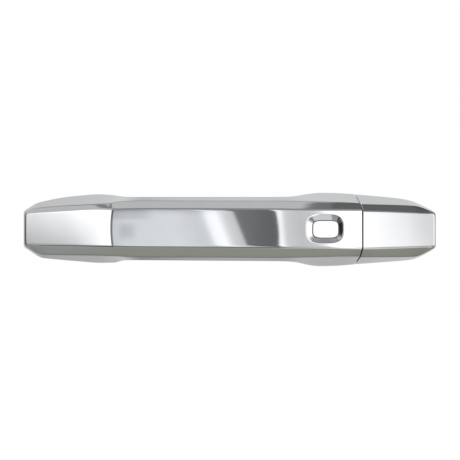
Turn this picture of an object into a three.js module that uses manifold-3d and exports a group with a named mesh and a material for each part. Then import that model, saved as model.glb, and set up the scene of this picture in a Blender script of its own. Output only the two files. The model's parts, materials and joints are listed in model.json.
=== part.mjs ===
// Outside door handle of a car's left-hand door: a chrome strap grip that swings out on a pivot
// pin at its front end, a fixed chrome end cap, a push button for keyless entry, and the chassis
// behind the door's skin with the lever that works the latch rod.
//
// Millimetres. +X runs towards the back of the car, +Z is up, and the handle faces -Y. The skin's
// outer surface is the plane y = 0, so a depth is how far a point stands out from it: depth = -y.

import * as THREE from "three";
import { mergeVertices } from "three/addons/utils/BufferGeometryUtils.js";
import Module from "manifold-3d";

const wasm = await Module();
wasm.setup();

// ---------------------------------------------------------------- driving dimensions

const WALL = 2.4; // chrome shells
const GAP = 0.3; // between pieces that rest on each other
const SKIN = 2.1; // the door's panel and its stiffener, held between gaskets and chassis
const GASKET = 1.5;

const FACE = { top: 38, at: 12, radius: 450 }; // the front face is a long bow, deepest at x = 12
const CREASE = { x: -68.5, fall: 0.32, curve: 0.00175 }; // front facet: falls towards the end
const SHOULDER = { x: 58, length: 20, fall: 0.185, curve: 0.0005 }; // rear facet: steepens
const CROWN = { z: 0.6, radius: 250 }; // the face is slightly round from top to bottom
const BACK = 23; // depth of the grip's back, where fingers reach behind it

const PIVOT = { x: -109, y: 9, pin: 2.5, half: 12.9 };
const LEVER = { x: 27, y: 26, pin: 2.5, reach: 33, tip: 2.8, rest: 20.9, half: 3.5 };
const ROD = { reach: 18, hole: 1.9 }; // the lever's arm for the latch rod
const BUTTON = { x: 55.4, z: 0.1, width: 15, height: 10, sink: 2.4, flange: 28.7 };
const LEG = { front: 63.5, back: 68, half: 6 }; // the grip's leg that pulls the lever
const HOLDER = { x0: 80.8, x1: 105.2, half: 9.8 };
const DOOR_SCREWS = { front: -84, rear: 111.5 };
const CHASSIS_HALF = 16.5;

// ---------------------------------------------------------------- materials

const material = (color, roughness, metalness) =>
  new THREE.MeshStandardMaterial({ color, roughness, metalness });
const CHROME = material(0xd4d7da, 0.06, 1);
const BLACK_PLASTIC = material(0x17181a, 0.55, 0);
const GLASS_NYLON = material(0x232427, 0.7, 0);
const RUBBER = material(0x101010, 0.85, 0);
const STEEL = material(0xa9adb0, 0.35, 1);
const ZINC = material(0x9b9d9f, 0.5, 1);
const ACETAL = material(0xe4e1d6, 0.45, 0);
const BOARD_GREEN = material(0x1e5a37, 0.5, 0);
const FERRITE = material(0x3a3836, 0.6, 0);
const COPPER = material(0xb5683a, 0.35, 1);

// ---------------------------------------------------------------- small tools

const mix = (a, b, t) => a.map((v, i) => v + (b[i] - v) * t);
const distance = (a, b) => Math.hypot(...a.map((v, i) => v - b[i]));
const degrees = THREE.MathUtils.degToRad;

// A manifold-3d solid from a closed geometry. Triangles that merging made into lines are dropped.
function solid(geometry) {
  const loose = geometry.index ? geometry.toNonIndexed() : geometry.clone();
  loose.deleteAttribute("normal");
  loose.deleteAttribute("uv");
  const merged = mergeVertices(loose, 1e-4);
  const kept = [];
  const index = merged.index.array;
  for (let i = 0; i < index.length; i += 3) {
    const [a, b, c] = [index[i], index[i + 1], index[i + 2]];
    if (a !== b && b !== c && c !== a) kept.push(a, b, c);
  }
  return new wasm.Manifold(
    new wasm.Mesh({
      numProp: 3,
      vertProperties: merged.attributes.position.array,
      triVerts: new Uint32Array(kept),
    }),
  );
}

const outline = (points) => new THREE.Shape(points.map(([a, b]) => new THREE.Vector2(a, b)));

// An outline in x and y, from z0 to z1.
function plan(points, z0, z1, holes = []) {
  const shape = outline(points);
  shape.holes = holes.map(outline);
  const g = new THREE.ExtrudeGeometry(shape, { depth: z1 - z0, bevelEnabled: false });
  return solid(g.translate(0, 0, z0));
}

// An outline in x and z, from y0 to y1.
function front(points, y0, y1, holes = []) {
  const shape = outline(points);
  shape.holes = holes.map(outline);
  const g = new THREE.ExtrudeGeometry(shape, { depth: y1 - y0, bevelEnabled: false });
  return solid(g.rotateX(Math.PI / 2).translate(0, y1, 0));
}

function block(x0, x1, y0, y1, z0, z1) {
  const g = new THREE.BoxGeometry(x1 - x0, y1 - y0, z1 - z0);
  return solid(g.translate((x0 + x1) / 2, (y0 + y1) / 2, (z0 + z1) / 2));
}

// Turns a geometry made along +Y so that it runs along an axis, and puts its origin at a point.
function place(geometry, axis, at) {
  const along = { x: [0, 0, -Math.PI / 2], y: [0, 0, 0], z: [Math.PI / 2, 0, 0] }[axis];
  const turn = new THREE.Matrix4().makeRotationFromEuler(new THREE.Euler(...along));
  return geometry.applyMatrix4(turn).translate(...at);
}

// A round bar along an axis, from one place on that axis to another.
function bar(axis, at, radius, from, to, sides = 20) {
  const g = new THREE.CylinderGeometry(radius, radius, to - from, sides);
  g.translate(0, (from + to) / 2, 0);
  return solid(place(g, axis, at));
}

// A turned piece: its profile is [radius, height] pairs that start and end on the axis.
function turned(axis, at, profile, sides = 20) {
  const points = profile.map(([r, h]) => new THREE.Vector2(r, h));
  return solid(place(new THREE.LatheGeometry(points, sides), axis, at));
}

// A closed solid through rings of equal numbers of points, each ring convex.
function loft(rings) {
  const corners = [];
  const count = rings[0].length;
  for (let r = 0; r + 1 < rings.length; r++)
    for (let i = 0; i < count; i++) {
      const [a, b] = [rings[r][i], rings[r][(i + 1) % count]];
      const [c, d] = [rings[r + 1][i], rings[r + 1][(i + 1) % count]];
      corners.push(a, b, c, b, d, c);
    }
  const [first, last] = [rings[0], rings[rings.length - 1]];
  for (let i = 1; i + 1 < count; i++) {
    corners.push(first[0], first[i + 1], first[i]);
    corners.push(last[0], last[i], last[i + 1]);
  }
  const g = new THREE.BufferGeometry();
  g.setAttribute("position", new THREE.Float32BufferAttribute(corners.flat(), 3));
  const made = solid(g);
  return made.volume() < 0 ? solid(reversed(g)) : made;
}

function reversed(geometry) {
  const p = geometry.attributes.position.array;
  for (let i = 0; i < p.length; i += 9)
    for (let k = 0; k < 3; k++) [p[i + k], p[i + 6 + k]] = [p[i + 6 + k], p[i + k]];
  return geometry;
}

// A rectangle with round corners about a centre, as points.
function roundedRectangle(cx, cz, width, height, radius, perCorner = 4) {
  const points = [];
  const centres = [[1, 1], [-1, 1], [-1, -1], [1, -1]];
  centres.forEach(([sx, sz], quarter) => {
    for (let i = 0; i <= perCorner; i++) {
      const angle = ((quarter + i / perCorner) * Math.PI) / 2;
      points.push([
        cx + sx * (width / 2 - radius) + radius * Math.cos(angle),
        cz + sz * (height / 2 - radius) + radius * Math.sin(angle),
      ]);
    }
  });
  return points;
}

const circle = (cx, cy, radius, sides = 24) =>
  Array.from({ length: sides }, (_, i) => {
    const angle = (i / sides) * 2 * Math.PI;
    return [cx + radius * Math.cos(angle), cy + radius * Math.sin(angle)];
  });

// A polyline with each corner cut back by its own length and rounded by a quadratic curve. Every
// corner and every run between corners gets the same number of points, whatever its size; a corner
// with no cut is one point.
function roundedPath(corners, cuts, perCorner, perRun) {
  const points = [corners[0]];
  let last = corners[0];
  const run = (end) => {
    for (let i = 1; i <= perRun; i++) points.push(mix(last, end, i / perRun));
    last = end;
  };
  for (let k = 1; k + 1 < corners.length; k++) {
    const at = corners[k];
    if (cuts[k] === 0) {
      run(at);
      continue;
    }
    const back = Math.min(0.5, cuts[k] / distance(at, corners[k - 1]));
    const ahead = Math.min(0.5, cuts[k] / distance(at, corners[k + 1]));
    const [start, end] = [mix(at, corners[k - 1], back), mix(at, corners[k + 1], ahead)];
    run(start);
    for (let i = 1; i <= perCorner; i++) {
      const t = i / perCorner;
      points.push(mix(mix(start, at, t), mix(at, end, t), t));
    }
    last = end;
  }
  run(corners[corners.length - 1]);
  return points;
}

// ---------------------------------------------------------------- the two chrome shells

// The lower of two values, with a short round where they cross.
function softMin(a, b, round) {
  const share = Math.max(round - Math.abs(a - b), 0) / round;
  return Math.min(a, b) - (share * share * round) / 4;
}

// Depth of the front face, before the bevels take its edges away.
function faceDepth(x, z) {
  const bow = (s) => FACE.top - (s - FACE.at) ** 2 / (2 * FACE.radius);
  const ahead = CREASE.x - x;
  const curl = (CREASE.curve / 2) * Math.max(ahead, 0) ** 2;
  const frontFacet = bow(CREASE.x) - CREASE.fall * ahead - curl;
  let depth = softMin(bow(x), frontFacet, 0.3);
  const past = x - SHOULDER.x;
  if (past > 0) {
    const bend = Math.min(past, SHOULDER.length);
    const slope = (SHOULDER.x - FACE.at) / FACE.radius;
    const curved = (SHOULDER.fall * bend * bend) / (2 * SHOULDER.length);
    const straight = SHOULDER.fall * (past - bend) + SHOULDER.curve * (past - bend) ** 2;
    depth = bow(SHOULDER.x) - slope * past - curved - straight;
  }
  return depth - (z - CROWN.z) ** 2 / (2 * CROWN.radius);
}

// Sections of a shell, from the seam to the far end. Each row has the cut of its corner and the
// rim's depth; then [x, z] of the face's edge, of the crease between bevel and flank, and of the
// rim, first above and then below.
const section = ([cut, rim, ...at]) => ({ cut, rim, top: at.slice(0, 3), low: at.slice(3) });

const GRIP_SECTIONS = [
  [0, 1.8, [76.6, 11.5], [75.2, 15.2], [72.4, 20.6], [76.6, -11.1], [75.2, -15.7], [72.4, -20.4]],
  [5, 1.8, [66, 11.5], [66, 15.7], [64, 21.2], [66, -10.8], [66, -15.6], [64, -21.2]],
  [3, 1.8, [54, 11.2], [54, 16.1], [52, 21.4], [54, -10.5], [54, -15.9], [52, -21.5]],
  [2.5, 3.2, [47, 11.2], [47, 16.3], [46.5, 20.9], [47, -10.4], [47, -16.1], [46.5, -21]],
  [2.5, 11, [42, 11.3], [42, 16.4], [41, 19.9], [42, -10.4], [42, -16.2], [41, -19.6]],
  [2.5, 20.5, [36, 11.5], [36, 16.5], [36, 19.1], [36, -10.4], [36, -16.3], [36, -18.7]],
  [3, BACK, [30, 11.7], [30, 16.5], [30, 18.9], [30, -10.5], [30, -16.4], [30, -18.5]],
  [0, BACK, [16, 11.75], [16, 16.5], [16, 18.9], [16, -10.5], [16, -16.4], [16, -18.4]],
  [0, BACK, [2, 11.8], [2, 16.5], [2, 18.9], [2, -10.4], [2, -16.3], [2, -18.3]],
  [0, BACK, [-12, 11.8], [-12, 16.5], [-12, 18.9], [-12, -10.4], [-12, -16.2], [-12, -18.2]],
  [0, BACK, [-26, 11.85], [-26, 16.6], [-26, 18.9], [-26, -10.3], [-26, -16.1], [-26, -18.1]],
  [0, BACK, [-39, 11.9], [-39, 16.6], [-39, 18.9], [-39, -10.3], [-39, -16.1], [-39, -18]],
  [3, BACK, [-52, 11.9], [-52, 16.6], [-52, 18.9], [-52, -10.2], [-52, -16], [-52, -17.9]],
  [2.5, 18.5, [-59, 11.8], [-59, 16.5], [-57.5, 18.9], [-59, -10.1], [-59, -15.9], [-57.5, -17.9]],
  [2.5, 8, [-65, 11.6], [-65, 16.1], [-62, 19.1], [-65, -9.9], [-65, -15.6], [-62, -18]],
  [0.8, 2.4, [-68.5, 11.65], [-68.6, 15.4], [-66.6, 19.9], [-68.5, -9.8], [-68.6, -15.4], [-66.6, -19.4]],
  [4, 1.8, [-77, 12], [-78, 14.7], [-76.5, 20.7], [-77, -9.6], [-77, -15.1], [-76.5, -19.6]],
  [8, 1.8, [-98, 10.9], [-99, 13.7], [-97, 18.9], [-98, -9.3], [-98, -14.9], [-97, -17.9]],
  [2.5, 2.7, [-113, 10], [-114.5, 12.2], [-112, 15.6], [-111.5, -9.2], [-110.6, -14.6], [-110, -16.6]],
  [1.6, 3.8, [-118.4, 9.5], [-119.2, 10.1], [-119.9, 10.8], [-118.4, -8.9], [-119.2, -9.4], [-119.9, -10.2]],
].map(section);

const CAP_SECTIONS = [
  [0, 1.8, [77.4, 10.5], [76.1, 14.6], [73.3, 20.4], [77.4, -11.2], [76.1, -16.1], [73.3, -20.3]],
  [6, 1.8, [90, 10.1], [90, 14.3], [88, 19.2], [90, -10.8], [90, -16.1], [88, -19.2]],
  [5, 1.8, [104, 9.5], [104, 13.9], [102, 17.7], [104, -10.4], [104, -16], [102, -18.2]],
  [2.5, 1.8, [112.5, 9.2], [110, 13.6], [109, 15.6], [111.5, -10.2], [109.6, -15.8], [108.8, -17.2]],
  [1.6, 1.8, [118.4, 9], [119.2, 9.5], [119.9, 9.9], [118.4, -9.9], [119.2, -10.4], [119.9, -10.9]],
].map(section);

// The grid of a shell: one row per place around the loop of sections, which runs anticlockwise
// seen from the front. A row holds the outer points from the middle of the face to the rim, and
// the inner points back again.
function shellRows(sections, reversedLoop, spineEnd, perCorner) {
  const side = (key) => sections.map((s) => ({ ...s, at: s[key] }));
  const there = side(reversedLoop ? "low" : "top");
  const loop = [...there, ...side(reversedLoop ? "top" : "low").reverse()];
  const cuts = loop.map((s) => s.cut);
  const path = (pick) => roundedPath(loop.map(pick), cuts, perCorner, 1);
  const face = path((s) => s.at[0]);
  const bevel = path((s) => s.at[1]);
  const rim = path((s) => [...s.at[2], s.rim]);
  const inward = (line, i) => {
    const [a, b] = [line[Math.max(i - 1, 0)], line[Math.min(i + 1, line.length - 1)]];
    const length = Math.hypot(b[0] - a[0], b[1] - a[1]);
    return [-(b[1] - a[1]) / length, (b[0] - a[0]) / length];
  };
  const moved = ([x, z], [nx, nz], by) => [x + nx * by, z + nz * by];
  const cap = (x) => (reversedLoop ? Math.min(x, spineEnd) : Math.max(x, spineEnd));
  return face.map((edge, i) => {
    const opposite = face[face.length - 1 - i]; // both share a point of the spine
    const spine = [cap((edge[0] + opposite[0]) / 2), CROWN.z];
    const width = distance(edge, bevel[i]);
    const bevelAt = faceDepth(...edge) - width; // the bevels fall at 45 degrees
    const point = ([x, z], depth) => [x, -depth, z];
    const bevelPoint = [...bevel[i], bevelAt];
    const round = Math.min(1.2, width / 3);
    const before = mix(edge, spine, Math.min(0.5, round / distance(edge, spine)));
    const after = mix([...edge, faceDepth(...edge)], bevelPoint, round / width);
    const above = mix(bevelPoint, after, Math.min(0.4, 1 / width));
    const below = mix(bevelPoint, rim[i], 0.12);
    const share = Math.min(1, width / (1.5 * WALL));
    const blend = (none, full) => none + (full - none) * share;
    const insideFace = moved(edge, inward(face, i), WALL * blend(1, 0.41));
    const insideBevel = moved(bevel[i], inward(bevel, i), 0.95 * WALL);
    const insideRim = moved(rim[i], inward(rim, i), WALL);
    return [
      point(spine, faceDepth(...spine)),
      point(before, faceDepth(...before)),
      point(after, after[2]),
      point(above, above[2]),
      point(below, below[2]),
      point(rim[i], rim[i][2]),
      point(insideRim, rim[i][2]),
      point(insideBevel, bevelAt - WALL * blend(1.3, 0.46)),
      point(insideFace, faceDepth(...edge) - WALL),
      point(spine, faceDepth(...spine) - WALL),
    ];
  });
}

// Closes a shell's grid: strips between rows, and the seam's edge faces at both ends.
function shellSolid(rows) {
  const corners = [];
  const quad = (a, b, c, d) => corners.push(a, b, c, a, c, d);
  for (let i = 0; i + 1 < rows.length; i++)
    for (let k = 0; k + 1 < rows[i].length; k++)
      quad(rows[i][k], rows[i + 1][k], rows[i + 1][k + 1], rows[i][k + 1]);
  for (const [row, flip] of [[rows[0], false], [rows[rows.length - 1], true]]) {
    const n = row.length - 1;
    for (let k = 0; k < (n - 1) / 2; k++) {
      const ring = [row[k], row[k + 1], row[n - k - 1], row[n - k]];
      quad(...(flip ? ring.reverse() : ring));
    }
  }
  const g = new THREE.BufferGeometry();
  g.setAttribute("position", new THREE.Float32BufferAttribute(corners.flat(), 3));
  const made = solid(g);
  return made.volume() < 0 ? solid(reversed(g)) : made;
}

// A wall that closes a shell at the seam, set in by a little from the shell's edge.
function seamWall(rows, into) {
  const ring = [];
  const half = (row) => [row[9], row[8], row[7], row[6]];
  const [first, last] = [half(rows[0]), half(rows[rows.length - 1])];
  ring.push(...first.slice(1), ...last.slice(1).reverse());
  const grown = ring.map(([x, y, z]) => [x, y, z * 1.05]);
  return loft([
    grown.map(([x, y, z]) => [x + into * 0.4, y, z]),
    grown.map(([x, y, z]) => [x + into * 2, y, z]),
  ]);
}

function roundBoss(x, radius, from, hole) {
  const to = faceDepth(x, 0) - WALL / 2;
  const post = bar("y", [x, 0, 0], radius, -to, -from, 20);
  return { post, hole: bar("y", [x, 0, 0], hole, -(to - WALL), -from + 1, 16) };
}

const BUTTON_FACE = faceDepth(BUTTON.x, BUTTON.z);
const BUTTON_FLOOR = BUTTON_FACE - BUTTON.sink;
const GRIP_SCREWS = [
  { name: "grip_screw_front", x: -92, seat: 11.3, into: 18.2 },
  { name: "grip_screw_middle", x: -38, seat: 25.5, into: 31.2 },
  { name: "grip_screw_rear", x: 33, seat: 25.5, into: 33.2 },
];

function gripShell() {
  const rows = shellRows(GRIP_SECTIONS, false, -108, 2);
  let shell = shellSolid(rows).add(seamWall(rows, -1));
  for (const { x } of GRIP_SCREWS) {
    const boss = roundBoss(x, 3.3, x < -60 ? 17.4 : 28.2, 1.75);
    shell = shell.add(boss.post).subtract(boss.hole);
  }
  const ring = (grow, depth) =>
    roundedRectangle(
      BUTTON.x - grow * 0.06,
      BUTTON.z + grow * 0.04,
      BUTTON.width + grow,
      BUTTON.height + grow,
      2.2 + grow * 0.42,
    ).map(([x, z]) => [x, -depth, z]);
  const hole = roundedRectangle(BUTTON.x, BUTTON.z, BUTTON.width, BUTTON.height, 2.2);
  const collar = roundedRectangle(BUTTON.x, BUTTON.z, 23.4, 19, 5.5);
  const funnel = [ring(0, BUTTON_FLOOR), ring(6.6, BUTTON_FACE), ring(11, BUTTON_FACE + 2.1)];
  return shell
    .add(front(collar, -(BUTTON_FACE - 1.4), -(BUTTON.flange + GAP)))
    .subtract(loft(funnel))
    .subtract(front(hole, -BUTTON_FACE, -BUTTON.flange + 2));
}

function endCap() {
  const rows = shellRows(CAP_SECTIONS, true, 108, 3);
  const boss = roundBoss(93, 3.6, 17, 1.75);
  return shellSolid(rows).add(seamWall(rows, 1)).add(boss.post).subtract(boss.hole);
}

// ---------------------------------------------------------------- the rest of the grip

// The back of the strap and the inner walls of its two feet, as one bent cover.
function gripBackCover() {
  const thick = 2.2;
  const outer = [
    [-68.2, 1.8], [-66.2, 4], [-60.2, 16], [-54.5, 22], [-52, BACK],
    [32, BACK], [35, 21.5], [38.4, 16.5], [44.4, 5], [47, 1.8],
  ];
  const inner = [
    [49.7, 1.8], [46.8, 5.8], [40.7, 17.4], [37, 23.4], [33, BACK + thick],
    [-53, BACK + thick], [-56.3, 23.6], [-62.2, 16.8], [-68.4, 4.6], [-70.6, 1.8],
  ];
  const strip = [...outer, ...inner].map(([x, depth]) => [x, -depth]);
  let cover = plan(strip, -13.9, 15.1);
  for (const { x } of GRIP_SCREWS.slice(1))
    cover = cover.subtract(bar("y", [x, 0, 0], 4.1, -BACK - thick - 1, -BACK + 1, 20));
  const groove = (z) => block(-50, 30, -BACK - 0.5, -BACK + 1, z - 0.6, z + 0.6);
  return cover.subtract(groove(-9)).subtract(groove(10));
}

// The load-carrying bar inside the grip: pivot lug, spine, and the leg that hooks the lever.
function gripCarrier() {
  const hook = -41; // depth of the face that pulls the lever's tip
  const upper = [
    [-113.5, 6], [-108, 10.8], [-70, 22.8], [-54, 27.8], [40, 27.8], [44, 24], [47.5, 18.5],
    [61, 18.5], [LEG.front, 21], [LEG.front + 1.5, 25], [LEG.back, 25],
  ];
  const lower = [
    [LEG.back, hook - 3], [54.2, hook - 3], [54.2, hook - 0.6], [54.9, hook], [LEG.front, hook],
    [LEG.front, 15.5], [45.8, 15.5], [42, 20.5], [37.5, 25.6], [-52.8, 25.6], [-56.6, 23.9],
    [-70, 18.6], [-99, 8.6], [-103.4, 2], [-103.4, -9], [-113.8, -9], [-113.8, -4],
  ];
  const bent = [...upper, ...lower].map(([x, depth]) => [x, -depth]);
  let carrier = plan(bent, -LEG.half, LEG.half);
  const lug = bar("z", [PIVOT.x, PIVOT.y, 0], 5.8, -6.8, 6.8);
  const root = plan([[-113.2, -5], [-106, -9], [-103.6, -2], [-103.4, 7], [-113.6, 7]], -6.8, 6.8);
  carrier = carrier.add(lug).add(root);
  carrier = carrier.subtract(bar("z", [PIVOT.x, PIVOT.y, 0], 3.6, -8, 8));
  for (const { x } of GRIP_SCREWS)
    carrier = carrier.subtract(bar("y", [x, 0, 0], 2, -30, -8, 16));
  carrier = carrier.subtract(bar("y", [GRIP_SCREWS[0].x, 0, 0], 3.8, -11.3, 0, 20));
  for (const x of [-20, -8, 4, 16]) // pockets that save weight in the spine
    carrier = carrier.subtract(block(x - 4.5, x + 4.5, -27, -25, -3.8, 3.8));
  return carrier;
}

function panScrew(at, shaft, head, length, height) {
  return turned("y", at, [
    [0, -length],
    [shaft * 0.6, -length],
    [shaft, -length + shaft],
    [shaft, 0],
    [head, 0],
    [head, height * 0.6],
    [head * 0.7, height],
    [0, height],
  ]);
}

// A screw that drives into the grip from behind: its head's seat is at a depth, and faces the door.
function gripScrew({ x, seat, into }) {
  const shape = panScrew([x, -seat + GAP, 0], 1.5, 3.1, into - seat, 1.6);
  const slot = front(circle(x, 0, 1.4, 6), -seat + GAP + 0.5, -seat + 3);
  return shape.subtract(slot);
}

function pivotBush(sign) {
  const sleeve = bar("z", [PIVOT.x, PIVOT.y, 0], 3.45, 1.4, 7);
  const flange = bar("z", [PIVOT.x, PIVOT.y, 0], 5, 6.95, 8.05);
  const hole = bar("z", [PIVOT.x, PIVOT.y, 0], PIVOT.pin + 0.15, 0, 9);
  const bush = sleeve.add(flange).subtract(hole);
  return sign > 0 ? bush : bush.mirror([0, 0, 1]);
}

function antennaCoil() {
  const outer = roundedRectangle(3, 0.4, 26, 10, 1, 2);
  const window = roundedRectangle(3, 0.4, 40, 5.2, 0.2, 1);
  return front(outer, -33.9, -30.1).subtract(front(window, -33.3, -30.7));
}

function switchBody() {
  const body = front(roundedRectangle(BUTTON.x, 0, 8, 6.2, 0.8, 2), -23.2, -20.7);
  return body.subtract(bar("y", [BUTTON.x, 0, 0], 1.6, -24, -21.5, 16));
}

function buttonBoot() {
  const ring = (grow) =>
    roundedRectangle(BUTTON.x, BUTTON.z, BUTTON.width - 1 + grow, BUTTON.height + grow, 2.5);
  return front(ring(0), -27.2, -20.7).subtract(front(ring(-3), -29, -20));
}

// ---------------------------------------------------------------- the push button

function buttonCap() {
  const shape = (grow) =>
    roundedRectangle(BUTTON.x, BUTTON.z, BUTTON.width - 0.6 + grow, BUTTON.height - 0.6 + grow, 1.8);
  const ring = (grow, depth) => shape(grow).map(([x, z]) => [x, -depth, z]);
  const face = loft([
    ring(0, BUTTON.flange - 0.3),
    ring(0, BUTTON_FLOOR - 0.5),
    ring(-0.8, BUTTON_FLOOR - 0.05),
    ring(-4, BUTTON_FLOOR + 0.15),
  ]);
  return face.add(front(shape(1.8), -BUTTON.flange, -27.5));
}

const buttonPlunger = () => bar("y", [BUTTON.x, 0, 0], 2.4, -27.2, -24.6, 20);
const switchActuator = () => bar("y", [BUTTON.x, 0, 0], 1.2, -24.3, -22.8, 16);

// ---------------------------------------------------------------- chassis and lever

function chassis() {
  const side = [
    [-117, SKIN], [-64, SKIN], [-57, 13], [-50, 14], [36, 14], [44, SKIN], [115, SKIN],
    [115, 24], [110, 31], [78, 31], [78, 48], [-4, 48], [-10, 22], [-50, 20.5], [-62, 19],
    [-90, 17.5], [-117, 17.5],
  ];
  const seen = [
    [-117, -9.5], [-110, -12.9], [-95, -16], [-80, -CHASSIS_HALF], [100, -CHASSIS_HALF],
    [107, -14.5], [115, -10], [115, 10], [107, 14.5], [100, CHASSIS_HALF], [-80, CHASSIS_HALF],
    [-95, 16], [-110, 12.9], [-117, 9.5],
  ];
  let frame = plan(side, -CHASSIS_HALF, CHASSIS_HALF).intersect(front(seen, 0, 60));
  const cut = (tool) => (frame = frame.subtract(tool));
  cut(block(-115.4, -100, 0, 20, -8.3, 8.3)); // the lug's slot
  cut(block(-1, 74.5, 17, 50, -12.8, 12.8)); // the lever's compartment, open at the back
  cut(plan([[36, 16.8], [54, 10.2], [62, 9], [62, 17.2], [36, 17.2]], -4.5, 4.5)); // its arm's way
  cut(block(52, 73, 0, 18, -8.2, 8.2)); // the leg's slot
  cut(block(80.3, 105.7, 0, 33, -10.3, 10.3)); // the cap holder's pocket
  cut(bar("x", [0, 20, 0], 3.2, 105, 117, 20));
  for (const x of [DOOR_SCREWS.front, DOOR_SCREWS.rear]) cut(bar("y", [x, 0, 0], 2.7, 0, 14, 20));
  cut(bar("y", [-94.5, 0, 0], 4.4, 0, 20, 20)); // the wiring's way in
  cut(bar("z", [PIVOT.x, PIVOT.y, 0], PIVOT.pin + 0.15, -14, 14));
  cut(bar("z", [LEVER.x, LEVER.y, 0], LEVER.pin + 0.15, -18, 18));
  for (const side of [-1, 1]) { // pockets between ribs, open at the back
    const pocket = (x0, x1, depth, z0, z1) => {
      const [low, high] = side > 0 ? [z0, z1] : [-z1, -z0];
      cut(block(x0, x1, depth, 25, low, high));
    };
    for (const x of [-55, -43.5, -32, -20.5]) pocket(x - 4.9, x + 4.9, 16, 0.8, 13.6);
    pocket(-75.5, -63, 4.6, 0.8, 13.6);
    pocket(-89.5, -78.5, 4.6, 7.4, 13.6);
    const [panelLow, panelHigh] = side > 0 ? [CHASSIS_HALF - 1.1, 20] : [-20, 1.1 - CHASSIS_HALF];
    const panel = (x0, x1, y0, y1) => cut(block(x0, x1, y0, y1, panelLow, panelHigh));
    for (const x of [3, 37, 49.5, 62]) panel(x, x + 10.5, 22, 45.5); // thinner walls of the box
    for (const x of [-48, -37.5, -27]) panel(x, x + 8.5, 16, 18.8);
  }
  for (const z of [-1, 1]) cut(block(84, 102, 4, 32, z * 13.4 - 1.4, z * 13.4 + 1.4));
  const post = bar("z", [LEVER.x - 10.5, 19, 0], 1.6, 8.8, 13.5, 12); // the spring's fixed leg
  return frame.add(post);
}

// Places on the lever: a distance from the pin and an angle, with the lever at rest.
function onLever(reach, angle) {
  const turn = degrees(angle);
  return [LEVER.x + reach * Math.cos(turn), LEVER.y + reach * Math.sin(turn)];
}

const TIP = onLever(LEVER.reach, LEVER.rest);
const ROD_AT = onLever(ROD.reach, LEVER.rest + 90);
const WEIGHT_AT = onLever(18, 180);
const TAB_AT = onLever(Math.hypot(14, 10.4), LEVER.rest + 36.6);

// A flat arm between two places, with half-widths at its ends.
function arm(from, to, wide, narrow, z0, z1) {
  const angle = Math.atan2(to[1] - from[1], to[0] - from[0]);
  const [s, c] = [Math.sin(angle), Math.cos(angle)];
  return plan(
    [
      [from[0] - s * wide, from[1] + c * wide],
      [from[0] + s * wide, from[1] - c * wide],
      [to[0] + s * narrow, to[1] - c * narrow],
      [to[0] - s * narrow, to[1] + c * narrow],
    ],
    z0,
    z1,
  );
}

function lever() {
  const hub = [LEVER.x, LEVER.y];
  const h = LEVER.half;
  return bar("z", [...hub, 0], 6, -9, 10, 28)
    .add(arm(hub, TIP, 4.4, LEVER.tip, -h, h))
    .add(bar("z", [...TIP, 0], LEVER.tip, -h, h, 20))
    .add(arm(hub, ROD_AT, 4.6, 3.6, -h + 1, h - 1))
    .add(bar("z", [...ROD_AT, 0], 3.6, -h + 1, h - 1, 20))
    .add(arm(hub, WEIGHT_AT, 5.4, 5, -h, h))
    .add(bar("z", [...WEIGHT_AT, 0], 5, -h, h, 20))
    .add(arm(onLever(11, LEVER.rest + 8), TAB_AT, 3.4, 2, -h + 1, h - 1))
    .add(bar("z", [...TAB_AT, 0], 1.5, -h + 1, 6.4, 14))
    .subtract(bar("z", [...hub, 0], 4.05, -10, 11))
    .subtract(bar("z", [...ROD_AT, 0], ROD.hole + 0.15, -h, h, 20))
    .subtract(bar("z", [...WEIGHT_AT, 0], 2.2, -h - 1, h + 1, 20));
}

const leverBush = () =>
  bar("z", [LEVER.x, LEVER.y, 0], 3.9, -8.8, 9.8).subtract(
    bar("z", [LEVER.x, LEVER.y, 0], LEVER.pin + 0.1, -10, 11),
  );

function counterweight() {
  const [x, y] = WEIGHT_AT;
  const block3 = plan(roundedRectangle(x, y, 14, 14, 2, 3), -12.2, -LEVER.half - GAP);
  return block3.subtract(bar("z", [x, y, 0], 2.2, -13, 0, 20));
}

const counterweightRivet = () =>
  bar("z", [...WEIGHT_AT, 0], 2, -12, LEVER.half + 0.4, 20).add(
    bar("z", [...WEIGHT_AT, 0], 3.4, LEVER.half + GAP, LEVER.half + 1.6, 20),
  );

// The clip that takes the latch rod: a pin through the lever's arm, and a wing with a channel.
function rodClip() {
  const [x, y] = ROD_AT;
  const wing = plan([[x, y - 3.4], [x + 7.5, y - 2.6], [x + 7.5, y + 2.6], [x, y + 3.4]], 3.2, 9.4);
  const channel = block(x - 6, x + 9, y - 1.1, y + 1.1, 6.4, 12);
  return bar("z", [x, y, 0], ROD.hole, -3.4, 3.4, 20)
    .add(bar("z", [x, y, 0], 3.4, 3.2, 9.4, 20))
    .add(wing)
    .subtract(channel)
    .add(turned("z", [x, y, -3.2], [[0, -1.4], [1.6, -1.4], [2.6, -0.4], [2.6, 0], [0, 0]], 20));
}

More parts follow.
